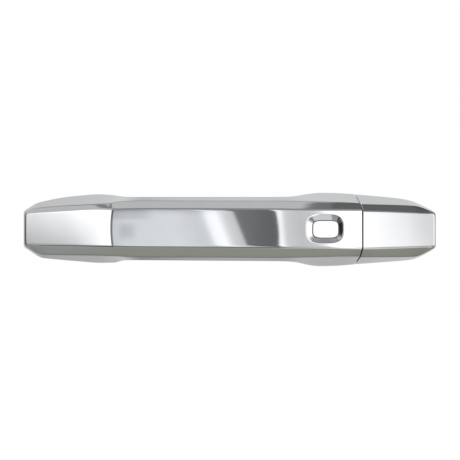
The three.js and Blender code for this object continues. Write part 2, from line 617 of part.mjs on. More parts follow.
// A torsion spring round the lever's hub: a fixed leg on the chassis and a leg on the lever's tab.
function returnSpring() {
  const [radius, wire, top, low] = [7.7, 0.8, 10.9, 4.9];
  const sweep = degrees(3 * 360 + 180 - (LEVER.rest + 90));
  const steps = 42;
  const coil = Array.from({ length: steps + 1 }, (_, i) => {
    const angle = Math.PI - (sweep * i) / steps;
    const z = top + ((low - top) * i) / steps;
    return new THREE.Vector3(
      LEVER.x + radius * Math.cos(angle),
      LEVER.y + radius * Math.sin(angle),
      z,
    );
  });
  const legTurn = degrees(LEVER.rest);
  const last = coil[steps];
  const legEnd = new THREE.Vector3(
    last.x + 15.5 * Math.cos(legTurn),
    last.y + 15.5 * Math.sin(legTurn),
    low,
  );
  const start = new THREE.Vector3(LEVER.x - radius, 17.6, top);
  const wirePath = new THREE.CatmullRomCurve3([start, ...coil, legEnd], false, "centripetal");
  const g = new THREE.ExtrudeGeometry(outline(circle(0, 0, wire, 6)), {
    steps: 76,
    extrudePath: wirePath,
    bevelEnabled: false,
  });
  return solid(g);
}

function pivotPin() {
  return turned("z", [PIVOT.x, PIVOT.y, 0], [
    [0, -PIVOT.half + 0.6],
    [PIVOT.pin - 0.4, -PIVOT.half + 0.6],
    [PIVOT.pin, -PIVOT.half + 1],
    [PIVOT.pin, PIVOT.half - 0.4],
    [PIVOT.pin - 0.4, PIVOT.half],
    [0, PIVOT.half],
  ]);
}

function leverPin() {
  return turned("z", [LEVER.x, LEVER.y, 0], [
    [0, -18],
    [LEVER.pin - 0.4, -18],
    [LEVER.pin, -17.6],
    [LEVER.pin, CHASSIS_HALF + GAP],
    [4.2, CHASSIS_HALF + GAP],
    [4.2, CHASSIS_HALF + 1.4],
    [3.4, CHASSIS_HALF + 1.9],
    [0, CHASSIS_HALF + 1.9],
  ]);
}

function leverPinClip() {
  const ring = bar("z", [LEVER.x, LEVER.y, 0], 4.8, -17.5, -16.8, 28);
  const hole = bar("z", [LEVER.x, LEVER.y, 0], LEVER.pin + 0.1, -18, -16, 24);
  const mouth = block(LEVER.x, LEVER.x + 6, LEVER.y - 1.9, LEVER.y + 1.9, -18, -16);
  return ring.subtract(hole).subtract(mouth);
}

const leverBumper = () =>
  turned("z", [46, 41.6, 0], [[0, -12.5], [3.7, -12.5], [3.7, 2.8], [3.2, 3.3], [0, 3.3]]);

// ---------------------------------------------------------------- what holds it to the door

function frontGasket() {
  const shape = [
    [-117, -8.5], [-109.5, -14.8], [-97, -16.6], [-76, -18.2], [-69, -17.6], [-69, 17.8],
    [-76, 19.2], [-96, 17.4], [-111, 14], [-117, 9.2],
  ];
  const lug = roundedRectangle(-107.7, 0, 15.6, 16.6, 2, 2);
  const wiring = circle(-94.5, 0, 4.7, 16);
  const screw = circle(DOOR_SCREWS.front, 0, 5.2, 20);
  return front(shape, -GASKET, 0, [lug, wiring, screw]);
}

function rearGasket() {
  const shape = [
    [50.5, -19.4], [63, -19.6], [87, -17.8], [103, -16.6], [108.6, -15.4], [117.4, -9.6],
    [117.4, 8.6], [108.6, 13.8], [102, 16.1], [87, 17.8], [63, 19.6], [50.5, 19.4],
  ];
  const leg = roundedRectangle(62.5, 0, 21, 16.4, 2, 2);
  const holder = roundedRectangle(93, 0, 25.4, 20.6, 1.5, 2);
  const screw = circle(DOOR_SCREWS.rear, 0, 5.2, 20);
  return front(shape, -GASKET, 0, [leg, holder, screw]);
}

function doorScrew(x) {
  const y = -GAP;
  const body = turned("y", [x, y, 0], [
    [0, -3.2],
    [3.4, -3.2],
    [3.9, -2.6],
    [3.9, -0.9],
    [4.6, -0.9],
    [4.6, 0],
    [2.4, 0],
    [2.4, 11.2],
    [1.6, 12.4],
    [0, 12.4],
  ]);
  return body.subtract(front(circle(x, 0, 2, 6), y - 4, y - 1.4));
}

// The insert behind the end cap: it goes through the skin and is clamped by the lock screw.
function capHolder() {
  const { x0, x1, half } = HOLDER;
  const body = block(x0, x1, -16.7, 27, -half, half);
  const flange = front(roundedRectangle(93, 0, 29, 25, 3, 3), -3.9, -GASKET - GAP);
  return body
    .add(flange)
    .subtract(block(x0 + 2.6, x1 - 2.6, -13.7, 28, -half + 2.6, half - 2.6))
    .subtract(bar("y", [93, 0, 0], 1.95, -20, -10, 16))
    .subtract(bar("x", [0, 20, 0], 2.9, x1 - 4, x1 + 1, 20));
}

function capScrew() {
  const seat = -13.7 + GAP;
  const shape = panScrew([93, seat, 0], 1.5, 3.4, 8.5, 1.8);
  return shape.subtract(front(circle(93, 0, 1.5, 6), seat + 0.7, seat + 3));
}

function lockScrew() {
  const body = turned("x", [0, 20, 0], [
    [0, 101],
    [1.8, 101],
    [2.6, 102.4],
    [2.6, 115.3],
    [4.5, 115.3],
    [4.5, 117.4],
    [3.9, 118],
    [0, 118],
  ]);
  const socket = new THREE.CylinderGeometry(2, 2, 3, 6).translate(0, 117.6, 0);
  return body.subtract(solid(place(socket, "x", [0, 20, 0])));
}

function wireGrommet() {
  return turned("y", [-94.5, 0, 0], [
    [2.2, -2.6],
    [4, -2.2],
    [4.1, 0.4],
    [4.1, 8],
    [3.2, 9.6],
    [2.2, 9.6],
    [2.2, -2.6],
  ], 20);
}

// ---------------------------------------------------------------- the assembly

const handle = new THREE.Group();

function add(name, shape, surface) {
  const made = shape.getMesh();
  const g = new THREE.BufferGeometry();
  g.setAttribute("position", new THREE.BufferAttribute(made.vertProperties, 3));
  g.setIndex(new THREE.BufferAttribute(made.triVerts, 1));
  g.computeVertexNormals();
  const mesh = new THREE.Mesh(g, surface);
  mesh.name = name;
  handle.add(mesh);
}

add("grip_shell", gripShell(), CHROME);
add("grip_back_cover", gripBackCover(), BLACK_PLASTIC);
add("grip_carrier", gripCarrier(), GLASS_NYLON);
for (const screw of GRIP_SCREWS) add(screw.name, gripScrew(screw), STEEL);
add("pivot_bush_upper", pivotBush(1), ACETAL);
add("pivot_bush_lower", pivotBush(-1), ACETAL);
add("sensor_board", block(-26, 27, -29.7, -28.2, -8.5, 9), BOARD_GREEN);
add("antenna_core", block(-14, 20, -33, -31, -1.9, 2.7), FERRITE);
add("antenna_coil", antennaCoil(), COPPER);
add("switch_board", block(48, 60.8, -20.4, -18.9, -8, 8), BOARD_GREEN);
add("switch_body", switchBody(), BLACK_PLASTIC);
add("button_boot", buttonBoot(), RUBBER);

add("button_cap", buttonCap(), CHROME);
add("button_plunger", buttonPlunger(), ACETAL);
add("switch_actuator", switchActuator(), ACETAL);

add("lever", lever(), GLASS_NYLON);
add("lever_bush", leverBush(), ACETAL);
add("counterweight", counterweight(), ZINC);
add("counterweight_rivet", counterweightRivet(), STEEL);
add("rod_clip", rodClip(), ACETAL);

add("chassis", chassis(), GLASS_NYLON);
add("front_gasket", frontGasket(), RUBBER);
add("rear_gasket", rearGasket(), RUBBER);
add("pivot_pin", pivotPin(), STEEL);
add("lever_pin", leverPin(), STEEL);
add("lever_pin_clip", leverPinClip(), STEEL);
add("return_spring", returnSpring(), STEEL);
add("lever_bumper", leverBumper(), RUBBER);
add("end_cap", endCap(), CHROME);
add("cap_holder", capHolder(), BLACK_PLASTIC);
add("cap_screw", capScrew(), STEEL);
add("lock_screw", lockScrew(), STEEL);
add("door_screw_front", doorScrew(DOOR_SCREWS.front), STEEL);
add("door_screw_rear", doorScrew(DOOR_SCREWS.rear), STEEL);
add("wire_grommet", wireGrommet(), RUBBER);

export default handle;
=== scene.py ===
"""Looks of an outside car door handle: chrome shells, button, running gear and its finishes.

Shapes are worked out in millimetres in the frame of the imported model, and become metres when a
mesh is made. +X runs towards the car's rear, +Z is up, the handle faces -Y, and a depth is how far
a point stands out of the door's skin: depth = -y.
"""

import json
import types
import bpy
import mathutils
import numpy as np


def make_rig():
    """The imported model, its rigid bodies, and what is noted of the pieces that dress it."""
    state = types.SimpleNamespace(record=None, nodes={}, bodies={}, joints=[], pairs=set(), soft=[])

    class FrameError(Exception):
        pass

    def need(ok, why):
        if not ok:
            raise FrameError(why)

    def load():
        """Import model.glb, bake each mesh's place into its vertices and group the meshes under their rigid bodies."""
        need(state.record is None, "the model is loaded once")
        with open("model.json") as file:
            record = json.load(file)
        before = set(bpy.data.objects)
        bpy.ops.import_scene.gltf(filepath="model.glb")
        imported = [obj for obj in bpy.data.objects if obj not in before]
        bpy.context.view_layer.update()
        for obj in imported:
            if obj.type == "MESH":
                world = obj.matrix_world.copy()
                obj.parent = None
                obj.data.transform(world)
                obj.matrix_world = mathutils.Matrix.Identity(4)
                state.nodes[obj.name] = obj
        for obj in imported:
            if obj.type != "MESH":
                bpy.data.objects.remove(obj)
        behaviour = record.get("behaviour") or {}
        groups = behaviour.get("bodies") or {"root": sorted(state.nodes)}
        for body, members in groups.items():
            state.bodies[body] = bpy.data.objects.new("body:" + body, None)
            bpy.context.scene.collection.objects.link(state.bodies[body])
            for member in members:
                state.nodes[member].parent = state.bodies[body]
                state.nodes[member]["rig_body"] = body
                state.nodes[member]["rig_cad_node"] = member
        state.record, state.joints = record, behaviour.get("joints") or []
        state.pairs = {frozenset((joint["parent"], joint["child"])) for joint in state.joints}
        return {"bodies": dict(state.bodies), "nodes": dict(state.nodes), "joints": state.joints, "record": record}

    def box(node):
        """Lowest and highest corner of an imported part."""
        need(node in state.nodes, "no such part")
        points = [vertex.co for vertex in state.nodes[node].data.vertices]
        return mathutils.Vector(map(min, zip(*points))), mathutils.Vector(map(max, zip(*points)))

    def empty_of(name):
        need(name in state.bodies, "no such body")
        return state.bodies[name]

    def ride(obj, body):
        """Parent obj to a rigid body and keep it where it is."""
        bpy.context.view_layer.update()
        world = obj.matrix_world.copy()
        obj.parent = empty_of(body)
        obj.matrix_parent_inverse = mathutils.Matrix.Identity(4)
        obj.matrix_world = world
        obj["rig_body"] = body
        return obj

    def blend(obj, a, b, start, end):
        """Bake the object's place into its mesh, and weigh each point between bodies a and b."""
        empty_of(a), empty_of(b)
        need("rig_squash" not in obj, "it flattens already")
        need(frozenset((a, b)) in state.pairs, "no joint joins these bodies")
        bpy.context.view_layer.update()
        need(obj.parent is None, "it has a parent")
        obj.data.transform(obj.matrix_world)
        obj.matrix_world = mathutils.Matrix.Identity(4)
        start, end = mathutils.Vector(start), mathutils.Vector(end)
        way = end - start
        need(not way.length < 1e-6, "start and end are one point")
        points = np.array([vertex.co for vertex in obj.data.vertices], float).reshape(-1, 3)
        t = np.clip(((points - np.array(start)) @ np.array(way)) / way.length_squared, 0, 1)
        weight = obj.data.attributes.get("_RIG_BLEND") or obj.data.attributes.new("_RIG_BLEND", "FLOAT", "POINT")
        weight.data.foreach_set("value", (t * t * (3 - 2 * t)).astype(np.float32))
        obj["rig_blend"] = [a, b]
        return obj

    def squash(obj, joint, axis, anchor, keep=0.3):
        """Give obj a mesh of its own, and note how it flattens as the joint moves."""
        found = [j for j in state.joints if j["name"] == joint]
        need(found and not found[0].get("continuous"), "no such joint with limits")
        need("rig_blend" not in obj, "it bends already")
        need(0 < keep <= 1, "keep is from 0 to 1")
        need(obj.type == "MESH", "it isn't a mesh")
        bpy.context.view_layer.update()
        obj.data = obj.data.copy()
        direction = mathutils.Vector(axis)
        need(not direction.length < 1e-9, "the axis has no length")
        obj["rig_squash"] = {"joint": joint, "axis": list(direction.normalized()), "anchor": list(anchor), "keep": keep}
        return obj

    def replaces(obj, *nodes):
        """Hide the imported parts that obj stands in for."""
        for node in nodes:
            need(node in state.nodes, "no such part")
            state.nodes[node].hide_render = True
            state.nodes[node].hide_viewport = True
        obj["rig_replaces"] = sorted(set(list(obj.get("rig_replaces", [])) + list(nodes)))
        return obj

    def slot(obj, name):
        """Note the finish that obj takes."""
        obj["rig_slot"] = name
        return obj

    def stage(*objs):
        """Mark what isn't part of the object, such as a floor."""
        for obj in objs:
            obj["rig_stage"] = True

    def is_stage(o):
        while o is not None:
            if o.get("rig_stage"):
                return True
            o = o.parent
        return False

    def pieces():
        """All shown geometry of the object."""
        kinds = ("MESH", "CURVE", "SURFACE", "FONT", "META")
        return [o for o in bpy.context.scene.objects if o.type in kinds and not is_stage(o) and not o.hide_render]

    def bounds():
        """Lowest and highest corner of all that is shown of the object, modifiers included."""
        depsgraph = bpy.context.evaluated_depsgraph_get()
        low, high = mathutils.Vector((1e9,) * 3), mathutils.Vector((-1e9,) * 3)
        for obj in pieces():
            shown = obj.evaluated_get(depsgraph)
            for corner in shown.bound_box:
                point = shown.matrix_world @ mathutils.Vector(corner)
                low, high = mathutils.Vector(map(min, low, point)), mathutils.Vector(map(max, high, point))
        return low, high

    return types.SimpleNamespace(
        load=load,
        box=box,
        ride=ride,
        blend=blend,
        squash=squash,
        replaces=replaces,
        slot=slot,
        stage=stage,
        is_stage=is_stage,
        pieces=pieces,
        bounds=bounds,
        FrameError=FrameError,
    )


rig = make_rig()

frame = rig.load()

import json
import math

import bmesh
import bpy
import numpy as np
from mathutils import Vector

CAD_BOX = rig.bounds()
SCENE = bpy.context.scene
MM = 0.001
MERGE = 2e-6  # metres: points closer than this become one
SMOOTH = 1e3  # a cut longer than any run: the path then never touches its corners


# ---------------------------------------------------------------- driving dimensions


def millimetres(corner):
    """A corner of a box as an array in millimetres."""
    return np.array(corner) / MM


def node_box(node):
    """Lowest and highest corner of a CAD node, in millimetres."""
    low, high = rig.box(node)
    return millimetres(low), millimetres(high)


WALL = 2.4  # of the chrome shells
BACK = 23.0  # depth of the grip's rim over the room for the fingers
# The face's bow along x, and its crown along z.
FACE_TOP, FACE_AT, FACE_RADIUS = 38.0, 12.0, 450.0
CROWN_AT, CROWN_RADIUS = 0.6, 250.0
# The crease near the front, how far it bends back at a height, and the facet ahead of it.
CREASE_AT, CREASE_BEND, CREASE_HEIGHT = -68.5, 0.9, 11.0
FACET_FALL, FACET_CURVE, FACET_BLEND = 0.32, 0.00175, 0.1
# The bend towards the rear end.
SHOULDER_AT, SHOULDER_LENGTH, SHOULDER_FALL, SHOULDER_CURVE = 58.0, 20.0, 0.185, 0.0005
# The button and its recess: the window, the bevel's upper end (mouth), the soft edge round that
# (brim) and the collar behind the window. An outline is its half width and height, and its power.
BUTTON_X, BUTTON_Z = 55.4, 0.1
BUTTON_HALF, BUTTON_POWER = (7.6, 5.15), 4.2
BUTTON_SINK, BUTTON_TILT, BUTTON_GAP = 2.4, 0.14, 0.2
MOUTH_X, MOUTH_Z = 55.05, 0.35
MOUTH, BRIM, COLLAR = (10.7, 8.35, 3.0), (11.4, 8.9, 3.3), (10.4, 7.6, 6)
COLLAR_DEPTH, FLANGE_DEPTH, FLANGE_BACK, FLANGE_WIDTH = 29.0, 28.7, 27.5, 0.9


# ---------------------------------------------------------------- surfaces


def soft_minimum(a, b, blend):
    """The smaller of two arrays, with a round of width blend where they cross."""
    share = np.maximum(blend - np.abs(a - b), 0) / blend
    return np.minimum(a, b) - share * share * blend / 4


def face_depth(x, z):
    """Depth of the front face: a bow along x, which turns into a falling facet ahead of the crease
    and bends down behind the shoulder, less a crown along z."""
    bow = lambda s: FACE_TOP - (s - FACE_AT) ** 2 / (2 * FACE_RADIUS)
    crease = CREASE_AT + CREASE_BEND * ((z - CROWN_AT) / CREASE_HEIGHT) ** 2
    ahead = crease - x
    facet = bow(crease) - FACET_FALL * ahead - FACET_CURVE / 2 * np.maximum(ahead, 0) ** 2
    past = np.maximum(x - SHOULDER_AT, 0)
    bend = np.minimum(past, SHOULDER_LENGTH)
    slope = (SHOULDER_AT - FACE_AT) / FACE_RADIUS
    fallen = SHOULDER_FALL * (bend**2 / (2 * SHOULDER_LENGTH) + past - bend)
    rear = bow(np.minimum(x, SHOULDER_AT)) - slope * past - fallen
    rear = rear - SHOULDER_CURVE * (past - bend) ** 2
    return soft_minimum(rear, facet, FACET_BLEND) - (z - CROWN_AT) ** 2 / (2 * CROWN_RADIUS)


def lerp(a, b, t):
    """The point a share t of the way from a to b."""
    return a + (b - a) * t


def rounded_path(corners, cuts, runs, turn):
    """Points along a polyline whose corners are cut back by a length and rounded by a quadratic
    curve. corners is (corner, ..., axis): every path of a bundle is rounded at once. runs is the
    number of steps between two roundings, and turn the number of steps in a rounding."""
    corners = np.asarray(corners, float)
    count = len(corners)
    runs = np.broadcast_to(runs, count - 1)
    gap = np.linalg.norm(np.diff(corners, axis=0), axis=-1, keepdims=True)
    points, last = [corners[:1]], corners[0]
    for k in range(1, count):
        corner = corners[k]
        cut = cuts[k] if k < count - 1 else 0
        start = lerp(corner, corners[k - 1], np.minimum(0.5, cut / gap[k - 1]))
        both_smooth = cut >= SMOOTH and cuts[k - 1] >= SMOOTH
        if runs[k - 1] and not both_smooth:
            share = np.arange(1, runs[k - 1] + 1) / runs[k - 1]
            points.append(lerp(last, start, share.reshape((-1,) + (1,) * corner.ndim)))
        last = start
        if cut > 0:
            end = lerp(corner, corners[k + 1], np.minimum(0.5, cut / gap[k]))
            share = (np.arange(1, turn + 1) / turn).reshape((-1,) + (1,) * corner.ndim)
            points.append(lerp(lerp(start, corner, share), lerp(corner, end, share), share))
            last = end
    return np.concatenate(points)


def coons(top, low, left, right):
    """A patch between four curves: the two blends between opposite curves, added, less the blend of
    the four corners. top and low run along the first parameter, left and right along the second."""
    s = np.linspace(0, 1, len(top))[:, None, None]
    t = np.linspace(0, 1, len(left))[None, :, None]
    across = lerp(top[:, None], low[:, None], t)
    along = lerp(left[None], right[None], s)
    corner = lerp(lerp(top[0], low[0], t), lerp(top[-1], low[-1], t), s)
    return across + along - corner


def superellipse(angle, half, power):
    """Points of |x/a|^p + |z/b|^p = 1 in the directions angle of the unit square."""
    c, s = np.cos(angle), np.sin(angle)
    reach = (np.abs(c) ** power + np.abs(s) ** power) ** (-1 / power)
    return np.stack([half[0] * reach * c, half[1] * reach * s], -1)


def on_depth(flat, depth):
    """Points [x, -depth, z] from points [x, z] and their depths."""
    return np.stack([flat[..., 0], -depth * np.ones(flat.shape[:-1]), flat[..., 1]], -1)


def on_face(flat, below=0.0):
    """Points of the front face at [x, z], or that much below it."""
    return on_depth(flat, face_depth(flat[..., 0], flat[..., 1]) - below)


# ---------------------------------------------------------------- meshes


class Piece:
    """Collects grids of points, in millimetres, and makes one closed mesh of them."""

    def __init__(self):
        self.points, self.faces, self.count = [], [], 0

    def grid(self, points, close_rows=False, close_columns=False, hole=None):
        """Quads between the neighbours of a grid (row, column, axis). hole leaves out the quads of
        rows a to b and columns c to d."""
        rows, columns = points.shape[:2]
        index = np.arange(rows * columns).reshape(rows, columns) + self.count
        if close_rows:
            index = np.concatenate([index, index[:1]])
        if close_columns:
            index = np.concatenate([index, index[:, :1]], 1)
        quads = np.stack([index[:-1, :-1], index[1:, :-1], index[1:, 1:], index[:-1, 1:]], -1)
        keep = np.ones(quads.shape[:2], bool)
        if hole:
            keep[hole[0] : hole[1], hole[2] : hole[3]] = False
        self.points.append(points.reshape(-1, 3))
        self.faces.append(quads[keep])
        self.count += rows * columns
        return self

    def make(self, name, body, slot, material, replaces=(), sharp=35):
        """Joins the grids at their common borders, turns the faces out and hands the piece to its
        body. Edges sharper than the angle sharp, in degrees, are shaded as edges."""
        mesh = bpy.data.meshes.new(name)
        points = np.concatenate(self.points) * MM
        mesh.from_pydata(points.tolist(), [], np.concatenate(self.faces).tolist())
        work = bmesh.new()
        work.from_mesh(mesh)
        bmesh.ops.remove_doubles(work, verts=work.verts, dist=MERGE)
        bmesh.ops.dissolve_degenerate(work, edges=work.edges, dist=MERGE / 4)
        bmesh.ops.recalc_face_normals(work, faces=work.faces)
        work.to_mesh(mesh)
        work.free()
        return settle(name, mesh, body, slot, material, replaces, sharp)


def settle(name, mesh, body, slot, material, replaces, sharp):
    """Shades a mesh smooth up to an angle, and gives it its body, slot and finish."""
    mesh.shade_smooth()
    mesh.set_sharp_from_angle(angle=math.radians(sharp))
    mesh.materials.clear()
    mesh.materials.append(material)
    piece = bpy.data.objects.new(name, mesh)
    SCENE.collection.objects.link(piece)
    if body:
        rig.ride(piece, body)
    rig.slot(piece, slot)
    if replaces:
        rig.replaces(piece, *([replaces] if isinstance(replaces, str) else replaces))
    return piece


# ---------------------------------------------------------------- finishes


class Wire:
    """A node's output. The operators add Math nodes, so that a pattern reads as a formula."""

    def __init__(self, graph, socket):
        self.graph, self.socket = graph, socket

    def maths(self, operation, *others):
        """A Math node on this value and the others."""
        return self.graph.node("Math", {"operation": operation}, [self, *others])

    def beside(self, name):
        """Another output of the same node."""
        return Wire(self.graph, self.socket.node.outputs[name])

    def __add__(self, other):
        return self.maths("ADD", other)

    __radd__ = __add__

    def __sub__(self, other):
        return self.maths("SUBTRACT", other)

    def __rsub__(self, other):
        return self.graph.node("Math", {"operation": "SUBTRACT"}, [other, self])

    def __mul__(self, other):
        return self.maths("MULTIPLY", other)

    __rmul__ = __mul__

    def __truediv__(self, other):
        return self.maths("DIVIDE", other)

    def __rtruediv__(self, other):
        return self.graph.node("Math", {"operation": "DIVIDE"}, [other, self])

    def __neg__(self):
        return 0 - self

    def __abs__(self):
        return self.maths("ABSOLUTE")

    def smooth(self, low, high):
        """0 below low, 1 above high, and a smooth step between them."""
        inputs = {"Value": self, "From Min": low, "From Max": high}
        return self.graph.node("MapRange", {"interpolation_type": "SMOOTHSTEP"}, inputs)

    def fall(self, low, high):
        """1 below low, 0 above high, and a smooth step between them."""
        return 1 - self.smooth(low, high)

    def band(self, rise, full, fade, gone):
        """1 from full to fade, 0 outside rise and gone, and smooth steps between them."""
        return self.smooth(rise, full) * self.fall(fade, gone)


class Graph:
    """A node tree and the one way of adding a node to it."""

    def __init__(self, tree):
        self.tree = tree
        tree.nodes.clear()

    def node(self, kind, settings=(), inputs=(), output=0):
        """Adds a node: its settings first, then the values or links of its sockets."""
        made = self.tree.nodes.new("ShaderNode" + kind)
        for name, value in dict(settings).items():
            if name == "stops":
                ramp = made.color_ramp.elements
                while len(ramp) < len(value):
                    ramp.new(0.5)
                for element, (at, level) in zip(ramp, value):
                    element.position = at
                    element.color = (level, level, level, 1)
            else:
                setattr(made, name, value)
        named = inputs.items() if isinstance(inputs, dict) else enumerate(inputs)
        for name, value in named:
            if isinstance(value, Wire):
                self.tree.links.new(value.socket, made.inputs[name])
            else:
                made.inputs[name].default_value = value
        return Wire(self, made.outputs[output] if len(made.outputs) else None)


def finish(name, metallic=0.0, **constants):
    """A material with its graph, its coordinates in millimetres and a function that ends it."""
    material = bpy.data.materials.new(name)
    material.use_nodes = True
    graph = Graph(material.node_tree)
    place = graph.node("TexCoord", output="Object")
    place = graph.node("VectorMath", {"operation": "SCALE"}, {0: place, "Scale": 1 / MM})

    def end(colour, roughness, height=None, depth=0.05):
        """depth is the height in millimetres of a bump of 1."""
        inputs = {"Base Color": colour, "Roughness": roughness, "Metallic": metallic}
        inputs.update({key.replace("_", " "): value for key, value in constants.items()})
        if height is not None:
            bump = {"Height": height, "Distance": depth * MM, "Strength": 1.0}
            inputs["Normal"] = graph.node("Bump", {}, bump)
        shader = graph.node("BsdfPrincipled", {}, inputs)
        graph.node("OutputMaterial", {}, {"Surface": shader})
        return material

    return graph, place, end


def noise(graph, place, size, detail=3.0, rough=0.55, stretch=None):
    """Noise from 0 to 1 whose lumps are about size millimetres across."""
    if stretch:
        place = graph.node("Mapping", {}, {"Vector": place, "Scale": stretch})
    inputs = {"Vector": place, "Scale": 1 / size, "Detail": detail, "Roughness": rough}
    return graph.node("TexNoise", {}, inputs, "Fac")


# A Mix node's sockets for colours: its factor, its two colours, and its result.
MIX_SHARE, MIX_FIRST, MIX_SECOND, MIX_COLOUR = 0, 6, 7, 2


def between(graph, share, dark, light):
    """A colour between two, by a share. The sockets of a Mix node share their names, so they are
    told apart by number."""
    inputs = {MIX_SHARE: share, MIX_FIRST: (*dark, 1), MIX_SECOND: (*light, 1)}
    return graph.node("Mix", {"data_type": "RGBA"}, inputs, MIX_COLOUR)


def chrome():
    """Bright plating: nearly a mirror, with the faint haze and wipe marks of a handled surface."""
    graph, place, end = finish("chrome", metallic=1.0)
    haze = noise(graph, place, 9.0, 4.0)
    wipes = noise(graph, place, 1.4, 5.0, 0.7, stretch=(0.12, 1, 1.6))
    colour = between(graph, haze, (0.574, 0.583, 0.596), (0.62, 0.629, 0.642))
    return end(colour, 0.018 + haze * 0.02 + wipes * 0.022)


def black_plastic():
    """Moulded plastic with a fine spark-eroded grain."""
    graph, place, end = finish("black_plastic")
    grain = noise(graph, place, 0.28, 2.0)
    cloud = noise(graph, place, 14.0)
    colour = between(graph, cloud, (0.012, 0.012, 0.013), (0.028, 0.028, 0.03))
    return end(colour, 0.4 + grain * 0.2 + cloud * 0.08, grain, 0.03)


def filled_nylon():
    """Glass-filled nylon: dull, streaked where the fibres lie at the surface."""
    graph, place, end = finish("filled_nylon")
    streak = noise(graph, place, 0.9, 5.0, 0.65, stretch=(0.18, 1, 1))
    cloud = noise(graph, place, 22.0, 4.0)
    share = streak * 0.6 + cloud * 0.4
    colour = between(graph, share, (0.016, 0.017, 0.019), (0.052, 0.053, 0.057))
    return end(colour, 0.5 + streak * 0.22, streak, 0.02)


def acetal():
    """Natural acetal: off-white and waxy, a little yellow in the thick."""
    graph, place, end = finish("acetal", Coat_Weight=0.15)
    cloud = noise(graph, place, 5.0)
    colour = between(graph, cloud, (0.66, 0.64, 0.57), (0.8, 0.79, 0.74))
    return end(colour, 0.3 + cloud * 0.12, noise(graph, place, 0.8), 0.01)


def rubber():
    """Soft black rubber with bloom: a grey dust that gathers in clouds."""
    graph, place, end = finish("rubber")
    bloom = noise(graph, place, 6.0, 5.0).smooth(0.45, 0.75)
    grain = noise(graph, place, 0.35)
    colour = between(graph, bloom, (0.011, 0.011, 0.012), (0.04, 0.04, 0.041))
    return end(colour, 0.68 + bloom * 0.16, grain, 0.04)


def plated_steel():
    """Zinc-plated steel: pale grey, with the patchy tint of passivation."""
    graph, place, end = finish("plated_steel", metallic=1.0)
    patch = noise(graph, place, 2.6, 4.0)
    colour = between(graph, patch.smooth(0.3, 0.7), (0.47, 0.49, 0.52), (0.66, 0.65, 0.6))
    return end(colour, 0.22 + patch * 0.2, noise(graph, place, 0.3, 4.0), 0.012)


def spring_steel():
    """Oiled spring wire, drawn: darker, with fine lines."""
    graph, place, end = finish("spring_steel", metallic=1.0)
    line = noise(graph, place, 0.3, 3.0, 0.6, stretch=(0.4, 0.4, 2.5))
    colour = between(graph, line, (0.2, 0.205, 0.22), (0.42, 0.42, 0.43))
    return end(colour, 0.2 + line * 0.2, line, 0.01)


def cast_zinc():
    """Die-cast zinc: dull grey with a slightly pitted skin."""
    graph, place, end = finish("cast_zinc", metallic=1.0)
    pits = noise(graph, place, 0.6, 5.0, 0.65)
    cloud = noise(graph, place, 4.0)
    colour = between(graph, cloud, (0.33, 0.34, 0.35), (0.48, 0.485, 0.49))
    return end(colour, 0.45 + pits * 0.22, pits, 0.05)


def circuit_board():
    """Lacquered board: green over copper tracks that run along x and step across."""
    graph, place, end = finish("circuit_board")
    flat = graph.node("Mapping", {}, {"Vector": place, "Rotation": (math.pi / 2, 0, 0)})
    bricks = {"Vector": flat, "Scale": 1.0, "Mortar Size": 0.16, "Mortar Smooth": 0.2}
    bricks.update({"Brick Width": 5.0, "Row Height": 0.9, "Bias": 0.0})
    track = graph.node("TexBrick", {}, bricks, "Fac")
    colour = between(graph, track, (0.008, 0.07, 0.03), (0.03, 0.17, 0.07))
    return end(colour, 0.3 + noise(graph, place, 1.5) * 0.15, track, 0.04)


def ferrite():
    """Sintered ferrite: dark grey and finely pored."""
    graph, place, end = finish("ferrite")
    pores = noise(graph, place, 0.35, 5.0, 0.7)
    colour = between(graph, pores, (0.028, 0.027, 0.026), (0.075, 0.072, 0.07))
    return end(colour, 0.5 + pores * 0.25, pores, 0.03)


def copper_wire():
    """Turns of enamelled wire lying side by side along x."""
    graph, place, end = finish("copper_wire", metallic=1.0)
    waves = {"Vector": place, "Scale": 0.9, "Distortion": 0.3, "Detail": 1.0}
    turns = graph.node("TexWave", {"bands_direction": "X"}, waves, "Fac")
    colour = between(graph, turns, (0.3, 0.09, 0.035), (0.72, 0.33, 0.15))
    return end(colour, 0.25 + turns * 0.1, turns, 0.15)


FINISHES = {
    "chrome_plate": chrome(),
    "black_plastic": black_plastic(),
    "filled_nylon": filled_nylon(),
    "white_acetal": acetal(),
    "rubber": rubber(),
    "plated_steel": plated_steel(),
    "spring_steel": spring_steel(),
    "cast_zinc": cast_zinc(),
    "circuit_board": circuit_board(),
    "ferrite": ferrite(),
    "copper_wire": copper_wire(),
}
SLOT_OF = {part["node"]: part["material_slot"] for part in frame["record"]["subparts"]}
BODY_OF = {
    node: body
    for body, nodes in frame["record"]["behaviour"]["bodies"].items()
    for node in nodes
}


# ---------------------------------------------------------------- the chrome shells

